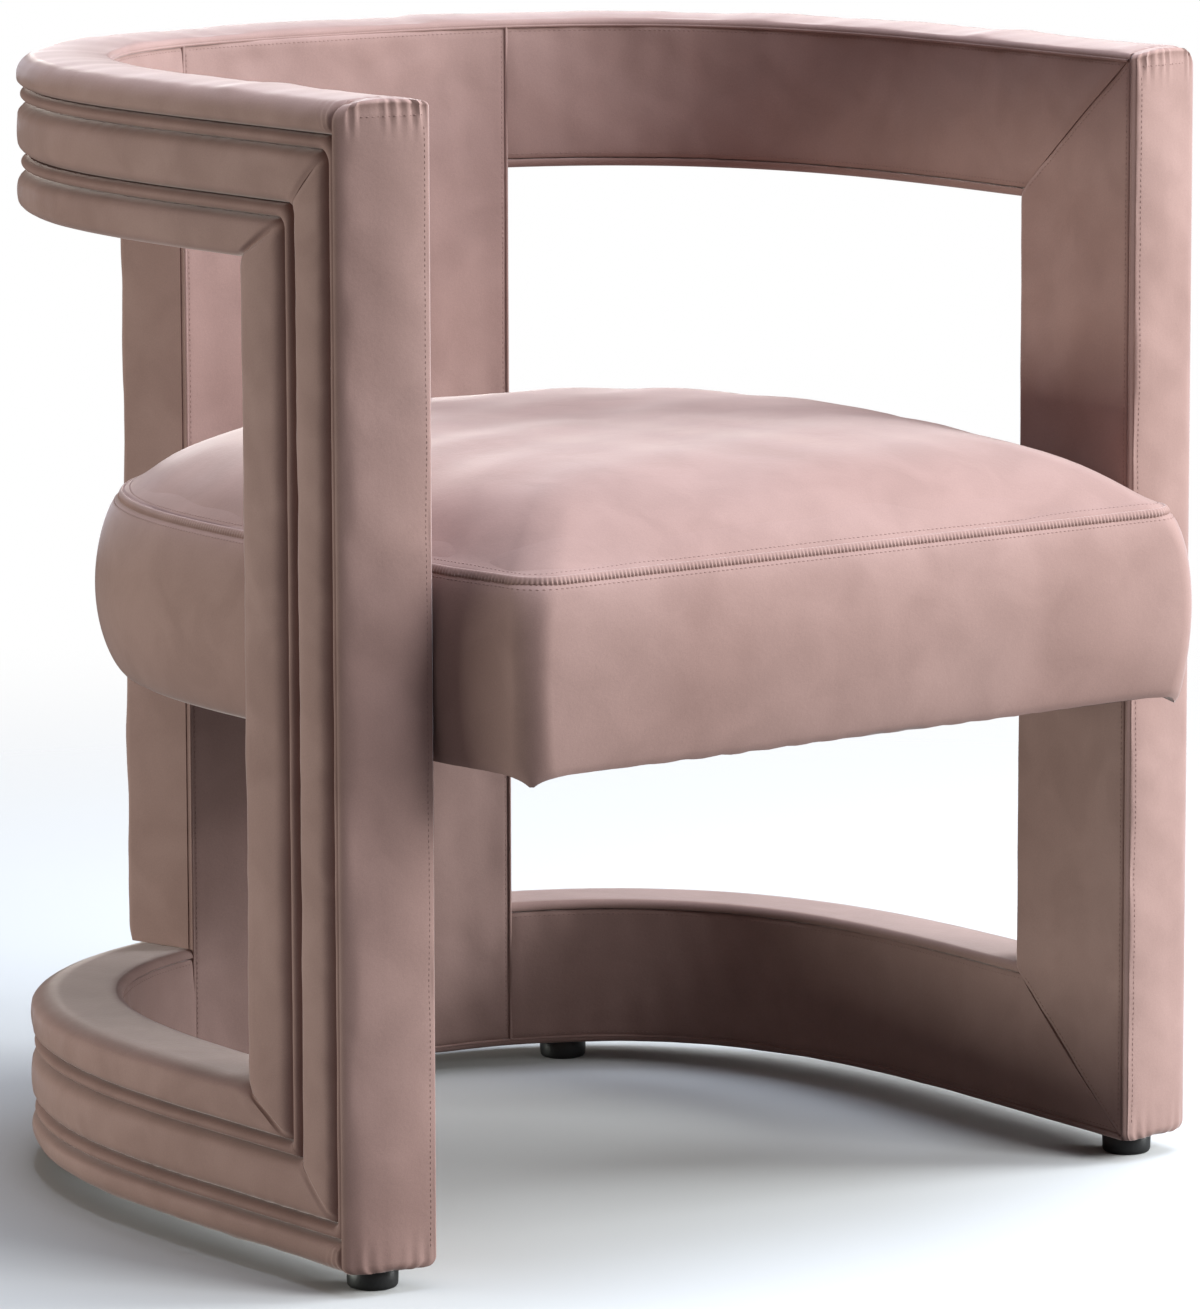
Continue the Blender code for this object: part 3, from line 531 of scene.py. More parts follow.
def make_front_cover(side_name, side, surface):
    """The cover of a post's front: its contour swept up the post, rounded in at both ends."""
    out, y = front_contour()
    count = len(out)
    share = np.arange(count) / (count - 1)
    back_out = out[0] + (out[-1] - out[0]) * share[1:-1]
    back_y = y[0] + (y[-1] - y[0]) * share[1:-1]
    loop_out = np.concatenate([out, back_out[::-1]])
    loop_y = np.concatenate([y, back_y[::-1]])
    is_back = np.arange(len(loop_out)) >= count
    radius = 0.0035 + (EDGE_RADIUS - 0.0035) * smooth((loop_out - WALL + 0.012) / 0.012)
    radius = np.where(is_back, 0.0, radius)
    middle_out, middle_y = 0.028, front_pad_y(0.028)
    reach = np.hypot(loop_out - middle_out, loop_y - middle_y) + 1e-9
    top_z = HEIGHT + crown_rise(loop_out)
    low_z = np.full(len(loop_out), FOOT_HEIGHT)
    turn = np.linspace(0, math.pi / 2, 8)
    rings = [(low_z + 0.006 * (1 - math.sin(a)), 0.006 * (1 - math.cos(a))) for a in turn[::-1]]
    for lift in np.linspace(0, 1, POST_STEPS + 30)[1:-1]:
        base, roof = low_z + 0.006, top_z - radius - 0.0005
        rings.append((base + (roof - base) * lift ** 0.85, 0.0))
    for a in turn:
        rings.append((top_z - radius * (1 - math.sin(a)), radius * (1 - math.cos(a))))
    made = []
    for z, inset in rings:
        pull = np.where(is_back, 0.0, inset) / reach
        ring_out = loop_out + (middle_out - loop_out) * pull
        ring_y = loop_y + (middle_y - loop_y) * pull
        below, above = top_z - z, z - FOOT_HEIGHT
        on_face = np.where(is_back, 0.0, smooth(loop_out / 0.004) * smooth((WALL - loop_out) / 0.01))
        ring_y = ring_y + on_face * folds_of("post_top", loop_out, below)
        ring_y = ring_y + on_face * folds_of("post_foot", loop_out, above)
        seam = bell(below - SEAM_DROP - 0.0005, 0.0011) * np.where(is_back, 0.0, 1.0)
        ring_y = ring_y + 0.0015 * seam * smooth(loop_out / 0.003) * smooth((WALL - loop_out) / 0.02)
        ring_y = ring_y + on_face * lumps_of("post_front", loop_out, z)
        made.append(wall_points(HALF - ring_y, ring_out, z))
    rings = mirrored(np.stack(made), side)
    points, faces = tube(rings)
    faces = faces[:-2]
    size = len(loop_out)
    for base in (0, (len(rings) - 1) * size):
        back = [base] + [base + size - k for k in range(1, count - 1)] + [base + count - 1]
        for k in range(count - 1):
            quad = [base + k, base + k + 1, back[k + 1], back[k]]
            faces.append(list(dict.fromkeys(quad)))
    name = f"post_front_pad_{side_name}"
    add_piece(name + "_cover", points, faces, surface, [name], fill=ROLL_FILL)


def mitre_distance(y):
    """Distance from the window, on the inner face, of the mitre at this y of a post."""
    last = front_pad_y(PAD)
    share = (POST_DEPTH - PAD - y) / (POST_DEPTH - PAD - last)
    return np.where(y > POST_DEPTH - PAD, POST_DEPTH - y, PAD + share * (INNER_TOP - PAD))


def mitre_y(distance):
    """y of a post's mitre at this distance from the window."""
    last = front_pad_y(PAD)
    share = (distance - PAD) / (INNER_TOP - PAD)
    beyond = POST_DEPTH - PAD - share * (POST_DEPTH - PAD - last)
    return np.where(distance < PAD, POST_DEPTH - distance, beyond)


def make_post_inner(side_name, side, surface):
    """The inner face of a post, wrapped round its edge into the window."""
    first = FRONT_PAD + GAP
    v = eased(26)
    turn = np.linspace(0, math.pi / 2, 8)
    face_y = first + (POST_DEPTH - REVEAL_RADIUS - first) * v
    face_out = 0.0016 * (1 - shoulder(face_y - first, 0.004)) - 0.0010 * np.sin(math.pi * v)
    round_y = POST_DEPTH - REVEAL_RADIUS * (1 - np.sin(turn))
    round_out = REVEAL_RADIUS * (1 - np.cos(turn))
    y = np.concatenate([face_y, round_y[1:], [POST_DEPTH - PAD, POST_DEPTH - PAD, first]])
    out = np.concatenate([face_out, round_out[1:], [REVEAL_RADIUS, PAD - GAP, PAD - GAP]])
    distance = mitre_distance(y) - GAP
    lift = eased(POST_STEPS)[:, None]
    z = rail_z(False, distance) + (rail_z(True, distance) - rail_z(False, distance)) * lift
    from_end = np.minimum(lift, 1 - lift) * (WINDOW_TOP - WINDOW_BOTTOM + 2 * distance)
    on_face = np.concatenate([np.ones(len(face_y)), 1 - np.sin(turn[1:]), [0, 0, 0]])
    lumps = lumps_of("post_inner", y, z) * smooth((y - first) / 0.01)
    out = out + on_face * (lumps + SEAM_DIP * bell(from_end, SEAM_REACH))
    rings = mirrored(wall_points(HALF - y, out, z), side)
    add_cover(f"post_inner_pad_{side_name}", rings, surface, FACE_FILL)


def make_post_reveal(side_name, side, surface):
    """The side of a post that faces the window."""
    y = POST_DEPTH - np.array([0.0, 0.0, PAD - GAP, PAD - GAP])
    out = np.array([REVEAL_RADIUS, WALL - ROLL, WALL - ROLL, REVEAL_RADIUS])
    distance = POST_DEPTH - y
    lift = np.linspace(0, 1, POST_STEPS)[:, None]
    z = rail_z(False, distance) + (rail_z(True, distance) - rail_z(False, distance)) * lift
    rings = mirrored(wall_points(HALF - y, out, z), side)
    add_cover(f"post_reveal_pad_{side_name}", rings, surface, REVEAL_FILL)


# ---- inner faces of the rails
def side_span(y_end):
    """c from a post's mitre to the side of the back panel."""
    start = HALF - y_end
    stop = PANEL_C + GAP
    return start + (stop - start) * np.linspace(0, 1, SIDE_STEPS)[:, None] ** 0.9


def rail_piece(is_top, kind, side_name):
    return f"{'top' if is_top else 'bottom'}_{kind}_pad_{side_name}"


def make_rail_inner(is_top, side_name, side, surface):
    """The padding on the inner face of a rail, from a post's mitre to the back panel."""
    v = eased(22)
    span = INNER_TOP - GAP - REVEAL_SEAM
    face = REVEAL_SEAM + GAP + (span - GAP) * v
    rounding = 0.004
    edge = np.minimum(face - REVEAL_SEAM, INNER_TOP - face)
    out = 0.0018 * (1 - shoulder(edge, rounding)) - 0.0016 * np.sin(math.pi * v)
    far = np.concatenate([face, [INNER_TOP - GAP, PAD + GAP, PAD + GAP, REVEAL_SEAM + GAP]])
    out = np.concatenate([out, [PAD, PAD, REVEAL_LIP, REVEAL_LIP]])
    c = side_span(mitre_y(far) + GAP)
    from_end = HALF - mitre_y(far) - c
    from_panel = c - PANEL_C
    on_face = np.concatenate([np.ones(len(face)), np.zeros(4)])
    lumps = lumps_of("rail_inner", c, far, is_top)
    relief = lumps * smooth(edge.min() + from_end / 0.01) * smooth(from_panel / 0.01)
    relief = relief + SEAM_DIP * (bell(from_end, SEAM_REACH) + bell(from_panel, SEAM_REACH))
    rings = mirrored(wall_points(c, out + on_face * relief, rail_z(is_top, far)), side)
    add_cover(rail_piece(is_top, "inner", side_name), rings, surface, FACE_FILL)


def make_rail_reveal(is_top, side_name, side, surface):
    """The side of a rail that faces the window, wrapped up the inner face to its seam."""
    turn = np.linspace(0, math.pi / 2, 8)
    top = REVEAL_SEAM - GAP
    lip = REVEAL_LIP - GAP
    turned = 0.0016 * (1 - shoulder(np.array([0.0, 0.0008]), 0.0012))
    out = [turned, REVEAL_RADIUS * (1 - np.cos(turn))]
    far = [np.array([top, top - 0.0004]), REVEAL_RADIUS * (1 - np.sin(turn))]
    flat = np.linspace(REVEAL_RADIUS, WALL - ROLL, 8)[1:]
    out += [flat, np.array([WALL - ROLL, lip, lip])]
    far += [np.zeros(len(flat)), np.array([PAD - GAP, PAD - GAP, top])]
    out, far = np.concatenate(out), np.concatenate(far)
    c = side_span(POST_DEPTH - far)
    rings = mirrored(wall_points(c, out, rail_z(is_top, far)), side)
    add_cover(rail_piece(is_top, "reveal", side_name), rings, surface, REVEAL_FILL)


# ---- back panel
def make_back_inner(surface):
    """Full-height padding inside the back, sewn down along its two sides."""
    bottom, top = FOOT_HEIGHT + SEAM_DROP + GAP, HEIGHT - SEAM_DROP - GAP
    v = eased(80)
    z = np.concatenate([bottom + (top - bottom) * v, [top, bottom]])
    share = eased(90)[:, None] * 2 - 1
    c = PANEL_C * share
    from_side = PANEL_C - np.abs(c)
    ends = np.minimum(z - bottom, top - z)
    swell = BACK_CROWN * smooth(from_side / 0.09 + 0.08) * smooth(ends / 0.22 + 0.25)
    edge = 0.0020 * (1 - shoulder(np.minimum(from_side, ends), 0.006))
    out = edge - swell + lumps_of("back_inner", c, z) * smooth(from_side / 0.02)
    on_face = np.concatenate([np.ones(len(v)), [0, 0]])
    out = np.where(on_face > 0, out, PAD)
    add_cover("back_inner_pad", wall_points(c, out, z), surface, FACE_FILL)


def make_back_outer(surface):
    """The outer cover of the back panel, with a flange round each of its sides."""
    bottom, top = WINDOW_BOTTOM + GAP, WINDOW_TOP - GAP
    turn = np.linspace(0, math.pi / 2, 8)
    side_out = WALL - PANEL_ROUNDING * (1 - np.sin(turn))
    side_c = PANEL_C - PANEL_ROUNDING * (1 - np.cos(turn))
    face = np.linspace(side_c[-1], -side_c[-1], 70)[1:-1]
    inner = PANEL_C - PAD
    lap = PANEL_C + PANEL_LAP
    core_out = WALL - ROLL
    side_c = side_c + PANEL_LAP * (side_c - side_c[-1]) / PANEL_ROUNDING
    back_c = np.linspace(-inner, inner, 20)
    flange = np.array([PANEL_SEAM, PANEL_SEAM, PAD + GAP, PAD + GAP])
    flange_c = np.array([lap, PANEL_C, PANEL_C, inner])
    c = np.concatenate([side_c, face, -side_c[::-1], -flange_c, back_c, flange_c[::-1]])
    out = np.concatenate([side_out, np.full(len(face), WALL), side_out[::-1]])
    out = np.concatenate([out, flange, np.full(len(back_c), core_out), flange[::-1]])
    z = bottom + (top - bottom) * eased(90)[:, None]
    ends = np.minimum(z - bottom, top - z)
    outer = smooth((out - WALL + PANEL_ROUNDING) / PANEL_ROUNDING)
    rounded = 0.006 * (1 - shoulder(ends, 0.012))
    moved = out + outer * (lumps_of("back_outer", c, z) - rounded)
    add_cover("back_outer_pad", wall_points(c, moved, z), surface, BACK_FILL)


# ---- seam beads
BEAD_RADIUS = 0.0011


def add_bead(name, path, normals, surface):
    """A thin rolled edge of cloth along a seam."""
    across = np.cross(normals, unit(np.gradient(path, axis=0)))
    turn = np.linspace(0, 2 * math.pi, 10, endpoint=False)[:, None, None]
    rings = path + BEAD_RADIUS * (np.cos(turn) * normals + np.sin(turn) * across)
    add_piece(name, *tube(np.swapaxes(rings, 0, 1)), surface, fill=SEAT_FILL)


def make_beads(surface):
    """Rolled edges along both inner seams of the wall and down both sides of the back panel."""
    c = np.linspace(front_pad_y(0) + 0.002 - HALF, HALF - front_pad_y(0) - 0.002, 500)
    for name, z in (("top", HEIGHT - SEAM_DROP), ("bottom", FOOT_HEIGHT + SEAM_DROP)):
        path = wall_points(c, 0.0006, z)
        add_bead(f"{name}_seam_bead", path, wall_points(c, -0.9994, z) - path, surface)
    z = np.linspace(FOOT_HEIGHT + SEAM_DROP, HEIGHT - SEAM_DROP, 300)
    for name, c in (("left", -PANEL_C), ("right", PANEL_C)):
        path = wall_points(c, 0.0004, z)
        add_bead(f"back_seam_bead_{name}", path, wall_points(c, -0.9996, z) - path, surface)


# ---- seat
def seat_half(inset, swell):
    """Right half of the seat's outline, from the middle of its front to that of its back."""
    radius = SEAT_CORNER + inset * SEAM_ROUNDING
    centre_x = SEAT_FRONT_HALF_WIDTH - inset - radius
    centre_y = radius + inset - SEAT_OVERHANG
    front_x = np.linspace(0, centre_x, 34)[:-1]
    turn = np.linspace(-math.pi / 2, 0, 14)[:-1]
    side_y = np.linspace(centre_y, 0, 10)[:-1]
    last = FRONT_HALF_WIDTH - SEAT_CLEARANCE
    side_x = SEAT_FRONT_HALF_WIDTH + (last - SEAT_FRONT_HALF_WIDTH) * (1 - side_y / centre_y)
    c = np.linspace(HALF, 0, 150)
    in_window = smooth((POST_C - c) / 0.03) * smooth((c - PANEL_C - 0.004) / 0.03)
    behind = smooth((PANEL_C + 0.006 - c) / 0.05)
    out = in_window * swell - behind * BACK_CROWN - SEAT_CLEARANCE - inset
    wall_x, wall_y = plan(c, out)
    x = np.concatenate([front_x, centre_x + radius * np.cos(turn), side_x - inset, wall_x])
    front = np.full(len(front_x), inset - SEAT_OVERHANG)
    y = np.concatenate([front, centre_y + radius * np.sin(turn), side_y])
    return x, np.concatenate([y + FRONT_Y, wall_y])


def seat_outline(inset, swell):
    x, y = seat_half(inset, swell)
    return np.concatenate([x, -x[-2:0:-1]]), np.concatenate([y, y[-2:0:-1]])


def front_share(y):
    """1 on the seat's front face, 0 from a little way behind it."""
    return smooth((FRONT_Y - SEAT_OVERHANG / 2 - y) / (SEAT_OVERHANG / 2))


def make_boxing(surface):
    """The padded band round the seat, fullest at half its height."""
    rings = []
    for rise in np.arange(BOXING_STEPS) / (BOXING_STEPS - 1):
        fullness = math.sin(math.pi * rise) ** 0.55
        inset = (BOTTOM_INSET + (SEAT_INSET - BOTTOM_INSET) * rise) * (1 - fullness)
        x, y = seat_outline(inset, SEAM_SWELL * rise * (1 - fullness) + SIDE_SWELL * fullness)
        z = np.full(len(x), SEAT_BOTTOM + (SEAM_HEIGHT - SEAT_BOTTOM) * rise)
        front = front_share(y)
        across = np.clip(1 - (np.abs(x) / SEAT_FRONT_HALF_WIDTH) ** 4, 0, 1)
        y = y - 0.0045 * fullness * front * across
        y = y + lumps_of("boxing", x + y, z) * fullness * front
        ear_x = np.abs(x) - SEAT_FRONT_HALF_WIDTH + EAR_IN
        ear_y = y - FRONT_Y + SEAT_OVERHANG - EAR_IN
        ear = np.exp(-np.hypot(ear_x, ear_y) / EAR_REACH) * (1 - rise) ** 3
        ripples = 0.0010 * np.abs(gathers(x + y, 0.05, 83)) * front * (1 - rise) ** 4
        z = z - EAR_DROP * ear - ripples
        rings.append(np.stack([x, y, z], -1))
    for z in (SEAM_HEIGHT, SEAT_BOTTOM):
        x, y = seat_outline(BOXING_PAD, 0.0)
        rings.append(np.stack([x, y, np.full(len(x), z)], -1))
    add_cover("seat_boxing", np.stack(rings), surface, SEAT_FILL, loop=True)


SEAT_CENTRE_Y = FRONT_Y + ARM_LENGTH
SEAT_RINGS = 30
TOP_INSET = SEAT_INSET + 0.0006  # rim of the top cover, just inside the seam
SEAT_POWER = 6.4  # exponent of the crown's fall from the middle to the rim
PINNED = "pinned"
SIM_FRAMES = 14
MOST_PUFF = 0.006  # what the simulated movement comes close to, but never passes
SEAM_PITCH = 0.0007  # between points along the seam band
RIB_PITCH = 0.0028  # between its ribs
RIB_SHARE = 0.20
BAND_HALF_WIDTH = 0.0029
BAND_HALF_DEPTH = 0.0017
BAND_SQUARENESS = 0.7
BAND_TILT = math.radians(24)


def seat_surface(inset, edge_z, rise):
    """Rings of a crowned top, from its rim to rounder and rounder ones near its middle."""
    x, y = seat_outline(inset, SEAM_SWELL)
    angle = np.arctan2(y - SEAT_CENTRE_Y, x)
    half_width, half_depth = x.max(), (y.max() - y.min()) / 2
    oval = 1 / np.hypot(np.cos(angle) / half_width, np.sin(angle) / half_depth)
    oval_x, oval_y = oval * np.cos(angle), oval * np.sin(angle)
    rings = []
    for share in 1 - eased(2 * SEAT_RINGS)[:SEAT_RINGS] * 2 * 0.985:
        z = edge_z + rise * (1 - share**SEAT_POWER)
        square = share**1.6
        ring_x = share * (oval_x + (x - oval_x) * square)
        ring_y = SEAT_CENTRE_Y + share * (oval_y + (y - SEAT_CENTRE_Y - oval_y) * square)
        rings.append(np.stack([ring_x, ring_y, np.full(len(x), z)], -1))
    return np.stack(rings)


def puffed(rings):
    """Cloth simulation of the top cover: sewn down at its rim, and blown up from below."""
    count, size = rings.shape[:2]
    points, faces = tube(rings)
    faces.pop(-2)  # the cap at the rim; the small one in the middle stays
    mesh = bpy.data.meshes.new("cloth")
    mesh.from_pydata(points.tolist(), [], faces)
    obj = bpy.data.objects.new("cloth", mesh)
    bpy.context.scene.collection.objects.link(obj)
    group = obj.vertex_groups.new(name=PINNED)
    group.add(list(range(size)), 1.0, "REPLACE")
    cloth = obj.modifiers.new("Cloth", "CLOTH")
    settings = cloth.settings
    settings.quality = 6
    settings.mass = 0.3
    settings.tension_stiffness = settings.compression_stiffness = 40
    settings.shear_stiffness = 30
    settings.bending_stiffness = 8
    settings.vertex_group_mass = PINNED
    settings.use_pressure = True
    settings.uniform_pressure_force = 1.6
    settings.shrink_min = -0.001
    settings.effector_weights.gravity = 0
    cloth.point_cache.frame_start, cloth.point_cache.frame_end = 1, SIM_FRAMES
    for number in range(1, SIM_FRAMES + 1):
        bpy.context.scene.frame_set(number)
    graph = bpy.context.evaluated_depsgraph_get()
    settled = obj.evaluated_get(graph).to_mesh()
    points = np.zeros(count * size * 3, np.float32)
    settled.vertices.foreach_get("co", points)
    bpy.data.objects.remove(obj)
    bpy.data.meshes.remove(mesh)
    bpy.context.scene.frame_set(1)
    return points.reshape(count, size, 3).astype(float)


def calmed(moved):
    """The simulated movement with its folds dying out from the rim to the middle."""
    waves = np.fft.rfft(moved, axis=1)
    share = np.linspace(1, 0, len(moved))[:, None]
    number = np.arange(waves.shape[1])[None]
    keep = bell(number, 1.0 + 14 * share**3)
    return np.fft.irfft(waves * keep[..., None], n=moved.shape[1], axis=1)


def make_seat_top(surface):
    """The seat's top cover: its simulated face over the foam, and its underside."""
    rise = SEAT_TOP - SEAM_HEIGHT + 0.001
    face = seat_surface(TOP_INSET, SEAM_HEIGHT + 0.0025, rise)
    settled = puffed(face)
    moved = calmed(settled - face)
    length = np.linalg.norm(moved, axis=-1, keepdims=True)
    face = face + moved * MOST_PUFF / (MOST_PUFF + length)
    x, y, z = np.moveaxis(face, -1, 0)
    near_rim = np.linspace(0, 1, len(face))[:, None]
    lift = 0.0006 * ripple(x, y, 0.10, 91) * smooth(near_rim / 0.1)
    face = np.stack([x, y, z + lift], -1)
    under = seat_surface(TOP_INSET, SEAM_HEIGHT + 0.0006, rise - 0.006)
    rings = np.concatenate([face[::-1], under])
    name = "seat_top_cover"
    add_piece(name + "_face", *tube(rings), surface, [name], fill=SEAT_FILL)


def even_path(points, pitch):
    """Points at an even spacing round a closed path."""
    closed = np.vstack([points, points[:1]])
    travel = travelled(closed)
    count = int(round(travel[-1] / pitch))
    return sampled(closed, travel, np.linspace(0, travel[-1], count, endpoint=False))


def make_seat_seam(surface):
    """The flat ribbed seam band between the seat's top and its boxing."""
    x, y = seat_outline(SEAT_INSET, SEAM_SWELL)
    path = even_path(np.stack([x, y, np.full(len(x), SEAM_HEIGHT + 0.0005)], -1), SEAM_PITCH)
    ahead = unit(np.roll(path, -1, axis=0) - np.roll(path, 1, axis=0))
    out = np.stack([ahead[:, 1], -ahead[:, 0], np.zeros(len(path))], -1)
    angle = np.linspace(0, 2 * math.pi, 14, endpoint=False)
    rib_angle = 2 * math.pi * np.arange(len(path)) * SEAM_PITCH / RIB_PITCH
    rib = 1 + RIB_SHARE * np.sin(rib_angle)[:, None]
    cos, sin = np.cos(angle), np.sin(angle)
    across = np.sign(cos) * np.abs(cos) ** BAND_SQUARENESS * BAND_HALF_DEPTH
    along = np.sign(sin) * np.abs(sin) ** BAND_SQUARENESS * BAND_HALF_WIDTH
    depth = (across * math.cos(BAND_TILT) - along * math.sin(BAND_TILT)) * rib
    rise = (across * math.sin(BAND_TILT) + along * math.cos(BAND_TILT)) * np.ones_like(rib)
    rings = path[:, None] + out[:, None] * depth[..., None] + UP * rise[..., None]
    add_piece("seat_seam_band", *tube(rings, loop=True), surface, fill=SEAT_FILL)
    return path, out


# ---- stitching
STITCH_PITCH = 0.0034
STITCH_LENGTH = 0.0023
STITCH_RADIUS = 0.00034
STITCH_SIDES = 6
ABOVE = 0.02  # how far off the cloth a stitch starts, before it is laid down


def laid_on(name, points, normals):
    """The points moved along their normals onto the named piece, leaving out any that miss it."""
    mesh = bpy.data.objects[name].data
    tree = BVHTree.FromPolygons([v.co for v in mesh.vertices], [p.vertices for p in mesh.polygons])
    found, kept = [], []
    for point, normal in zip(points, normals):
        hit = tree.ray_cast(Vector(point + normal * ABOVE), Vector(-normal), 2 * ABOVE)[0]
        if hit is not None:
            found.append(hit)
            kept.append(normal)
    return np.array(found), np.array(kept)


def stitch_row(piece, path):
    """Small closed capsules of thread along a path of points and normals laid on a piece."""
    points, normals = path
    travel = travelled(points)
    place = np.arange(STITCH_PITCH / 2, travel[-1], STITCH_PITCH)
    points, normals = (sampled(values, travel, place) for values in (points, normals))
    points, normals = laid_on(piece, points, normals)
    ahead = unit(np.gradient(points, axis=0))
    side = unit(np.cross(normals, ahead))
    turn = np.linspace(0, 2 * math.pi, STITCH_SIDES, endpoint=False)
    vertices, faces = [], []
    for point, normal, along, across in zip(points, normals, ahead, side):
        rings = []
        for share, width in ((-0.5, 0.35), (-0.32, 1.0), (0.32, 1.0), (0.5, 0.35)):
            centre = point + along * share * STITCH_LENGTH - normal * 0.0004 * (2 * share) ** 4
            round_it = np.cos(turn)[:, None] * across + np.sin(turn)[:, None] * normal
            rings.append(centre + round_it * STITCH_RADIUS * width)
        ring_points, ring_faces = tube(np.stack(rings))
        faces += [[index + len(vertices) for index in face] for face in ring_faces]
        vertices += ring_points.tolist()
    return vertices, faces


def add_stitches(name, rows, surface):
    """One piece with all the stitches of these rows."""
    vertices, faces = [], []
    for piece, path in rows:
        row_vertices, row_faces = stitch_row(piece, path)
        faces += [[index + len(vertices) for index in face] for face in row_faces]
        vertices += row_vertices
    add_piece(name, vertices, faces, surface, slot="velvet_welt")


def wall_row(c, z, side):
    """A row on the wall's inner face, with normals towards the seat."""
    c, z = np.broadcast_arrays(c, z)
    face = wall_points(c, 0.0, z)
    normals = wall_points(c, -1.0, z) - face
    return mirrored(face, side), mirrored(normals, side)


def side_rows(side_name, side):
    """Rows of one side: along both seams of each rail, down the post's band and its mitres."""
    rows = []
    for is_top, rail in ((True, "top"), (False, "bottom")):
        for distance in (INNER_TOP - ROW_FROM_EDGE, REVEAL_SEAM + ROW_FROM_EDGE):
            start = HALF - mitre_y(distance) - ROW_FROM_EDGE
            c = np.linspace(start, PANEL_C + ROW_FROM_EDGE, 200)
            row = wall_row(c, rail_z(is_top, distance), side)
            rows.append((f"{rail}_inner_pad_{side_name}_cover", row))
        y = np.linspace(POST_DEPTH - PAD, FRONT_PAD + ROW_FROM_EDGE, 60)
        z = rail_z(is_top, mitre_distance(y) - 1.4 * ROW_FROM_EDGE)
        rows.append((f"post_inner_pad_{side_name}_cover", wall_row(HALF - y, z, side)))
    z = np.linspace(FOOT_HEIGHT + 0.012, HEIGHT - 0.012, 200)
    rows.append((f"post_inner_pad_{side_name}_cover", wall_row(HALF - FRONT_PAD - 0.0026, z, side)))
    ahead = np.array([0.0, -1.0, 0.0])
    face = mirrored(wall_points(HALF, 0.0052, z), side)
    rows.append((f"post_front_pad_{side_name}_cover", (face, np.broadcast_to(ahead, face.shape))))
    along = np.linspace(0.006, WALL - 0.012, 40)
    across = mirrored(wall_points(HALF, along, HEIGHT - SEAM_DROP - 0.0035), side)
    rows.append((f"post_front_pad_{side_name}_cover", (across, np.broadcast_to(ahead, across.shape))))
    return rows


def back_rows():
    """Rows of the back panel: down both its sides and along its top."""
    rows = []
    z = np.linspace(FOOT_HEIGHT + 0.01, HEIGHT - 0.01, 200)
    for side in (-1, 1):
        rows.append(("back_inner_pad_cover", wall_row(PANEL_C - ROW_FROM_EDGE, z, side)))
    c = np.linspace(-PANEL_C + 0.006, PANEL_C - 0.006, 150)
    top = HEIGHT - SEAM_DROP - ROW_FROM_EDGE
    rows.append(("back_inner_pad_cover", wall_row(c, top, 1)))
    return rows


def seat_rows(path, out):
    """One row below the seam band, on the boxing, and one above it, on the top cover."""
    closed = np.vstack([path, path[:1]])
    normals = np.vstack([out, out[:1]])
    below = closed - 0.0042 * UP
    above = closed - normals * 0.0052 + 0.004 * UP
    upward = np.broadcast_to(UP, above.shape)
    return [("seat_boxing_cover", (below, normals)), ("seat_top_cover_face", (above, upward))]


# ---- underside and feet
FOOT_STEPS = 64
FOOT_RECESS = 0.0064  # radii of a foot's recess and of the hole for its screw
SCREW_HOLE = 0.0024
RECESS_TOP = 0.0062


def make_dust_cover(surface):
    """The thin cloth stapled under the seat, sagging a little between its edges."""
    x, y = seat_outline(SEAT_INSET, 0.0)
    thickness, sag = 0.0008, 0.003
    rings = []
    for share in (1.0, 0.9, 0.75, 0.55, 0.3, 0.08):
        z = high("seat_dust_cover").z - thickness - sag * (1 - share**2)
        ring_y = SEAT_CENTRE_Y + (y - SEAT_CENTRE_Y) * share
        rings.append(np.stack([x * share, ring_y, np.full(len(x), z)], -1))
    low_side = np.stack(rings)
    high_side = low_side + thickness * UP
    points, faces = tube(np.concatenate([low_side[::-1], high_side]))
    obj = add_piece("seat_dust_cloth", points, faces, surface, ["seat_dust_cover"], "dust_cloth")


def make_foot(node, surface):
    """A round moulded foot with a recess for its screw."""
    first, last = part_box(node)
    radius = (last.x - first.x) / 2
    middle = (first + last) / 2
    top = last.z
    profile = [(FOOT_RECESS, 0.0), (radius - 0.0028, 0.0), (radius - 0.0014, 0.0005)]
    profile += [(radius - 0.0006, 0.0016), (radius - 0.0003, 0.003)]
    profile += [(radius, top - 0.0012), (radius - 0.0008, top)]
    profile += [(SCREW_HOLE, top), (SCREW_HOLE, RECESS_TOP), (FOOT_RECESS, RECESS_TOP)]
    angle = np.linspace(0, 2 * math.pi, FOOT_STEPS, endpoint=False)[:, None]
    r, z = np.array(profile).T
    x, y = middle.x + r * np.cos(angle), middle.y + r * np.sin(angle)
    rings = np.stack([x, y, np.broadcast_to(z, x.shape)], -1)
    add_piece(node + "_moulded", *tube(rings, loop=True), surface, [node], "black_plastic")


# ---- materials
def node_tree(name):
    """A new material with its nodes and links."""
    made = bpy.data.materials.new(name)
    made.use_nodes = True
    return made, made.node_tree.nodes, made.node_tree.links


def set_inputs(node, values):
    for socket, value in values.items():
        node.inputs[socket].default_value = value


def noise_node(nodes, links, coords, scale, detail, distortion=0.0, roughness=0.5):
    made = nodes.new("ShaderNodeTexNoise")
    values = {"Scale": scale, "Detail": detail, "Distortion": distortion, "Roughness": roughness}
    set_inputs(made, values)
    links.new(coords, made.inputs["Vector"])
    return made.outputs["Fac"]


def ramp_node(nodes, links, value, stops):
    made = nodes.new("ShaderNodeValToRGB")
    ramp = made.color_ramp
    while len(ramp.elements) < len(stops):
        ramp.elements.new(0.5)
    for element, (place, colour) in zip(ramp.elements, stops):
        element.position = place
        element.color = (*colour, 1.0)
    links.new(value, made.inputs["Fac"])
    return made.outputs["Color"]


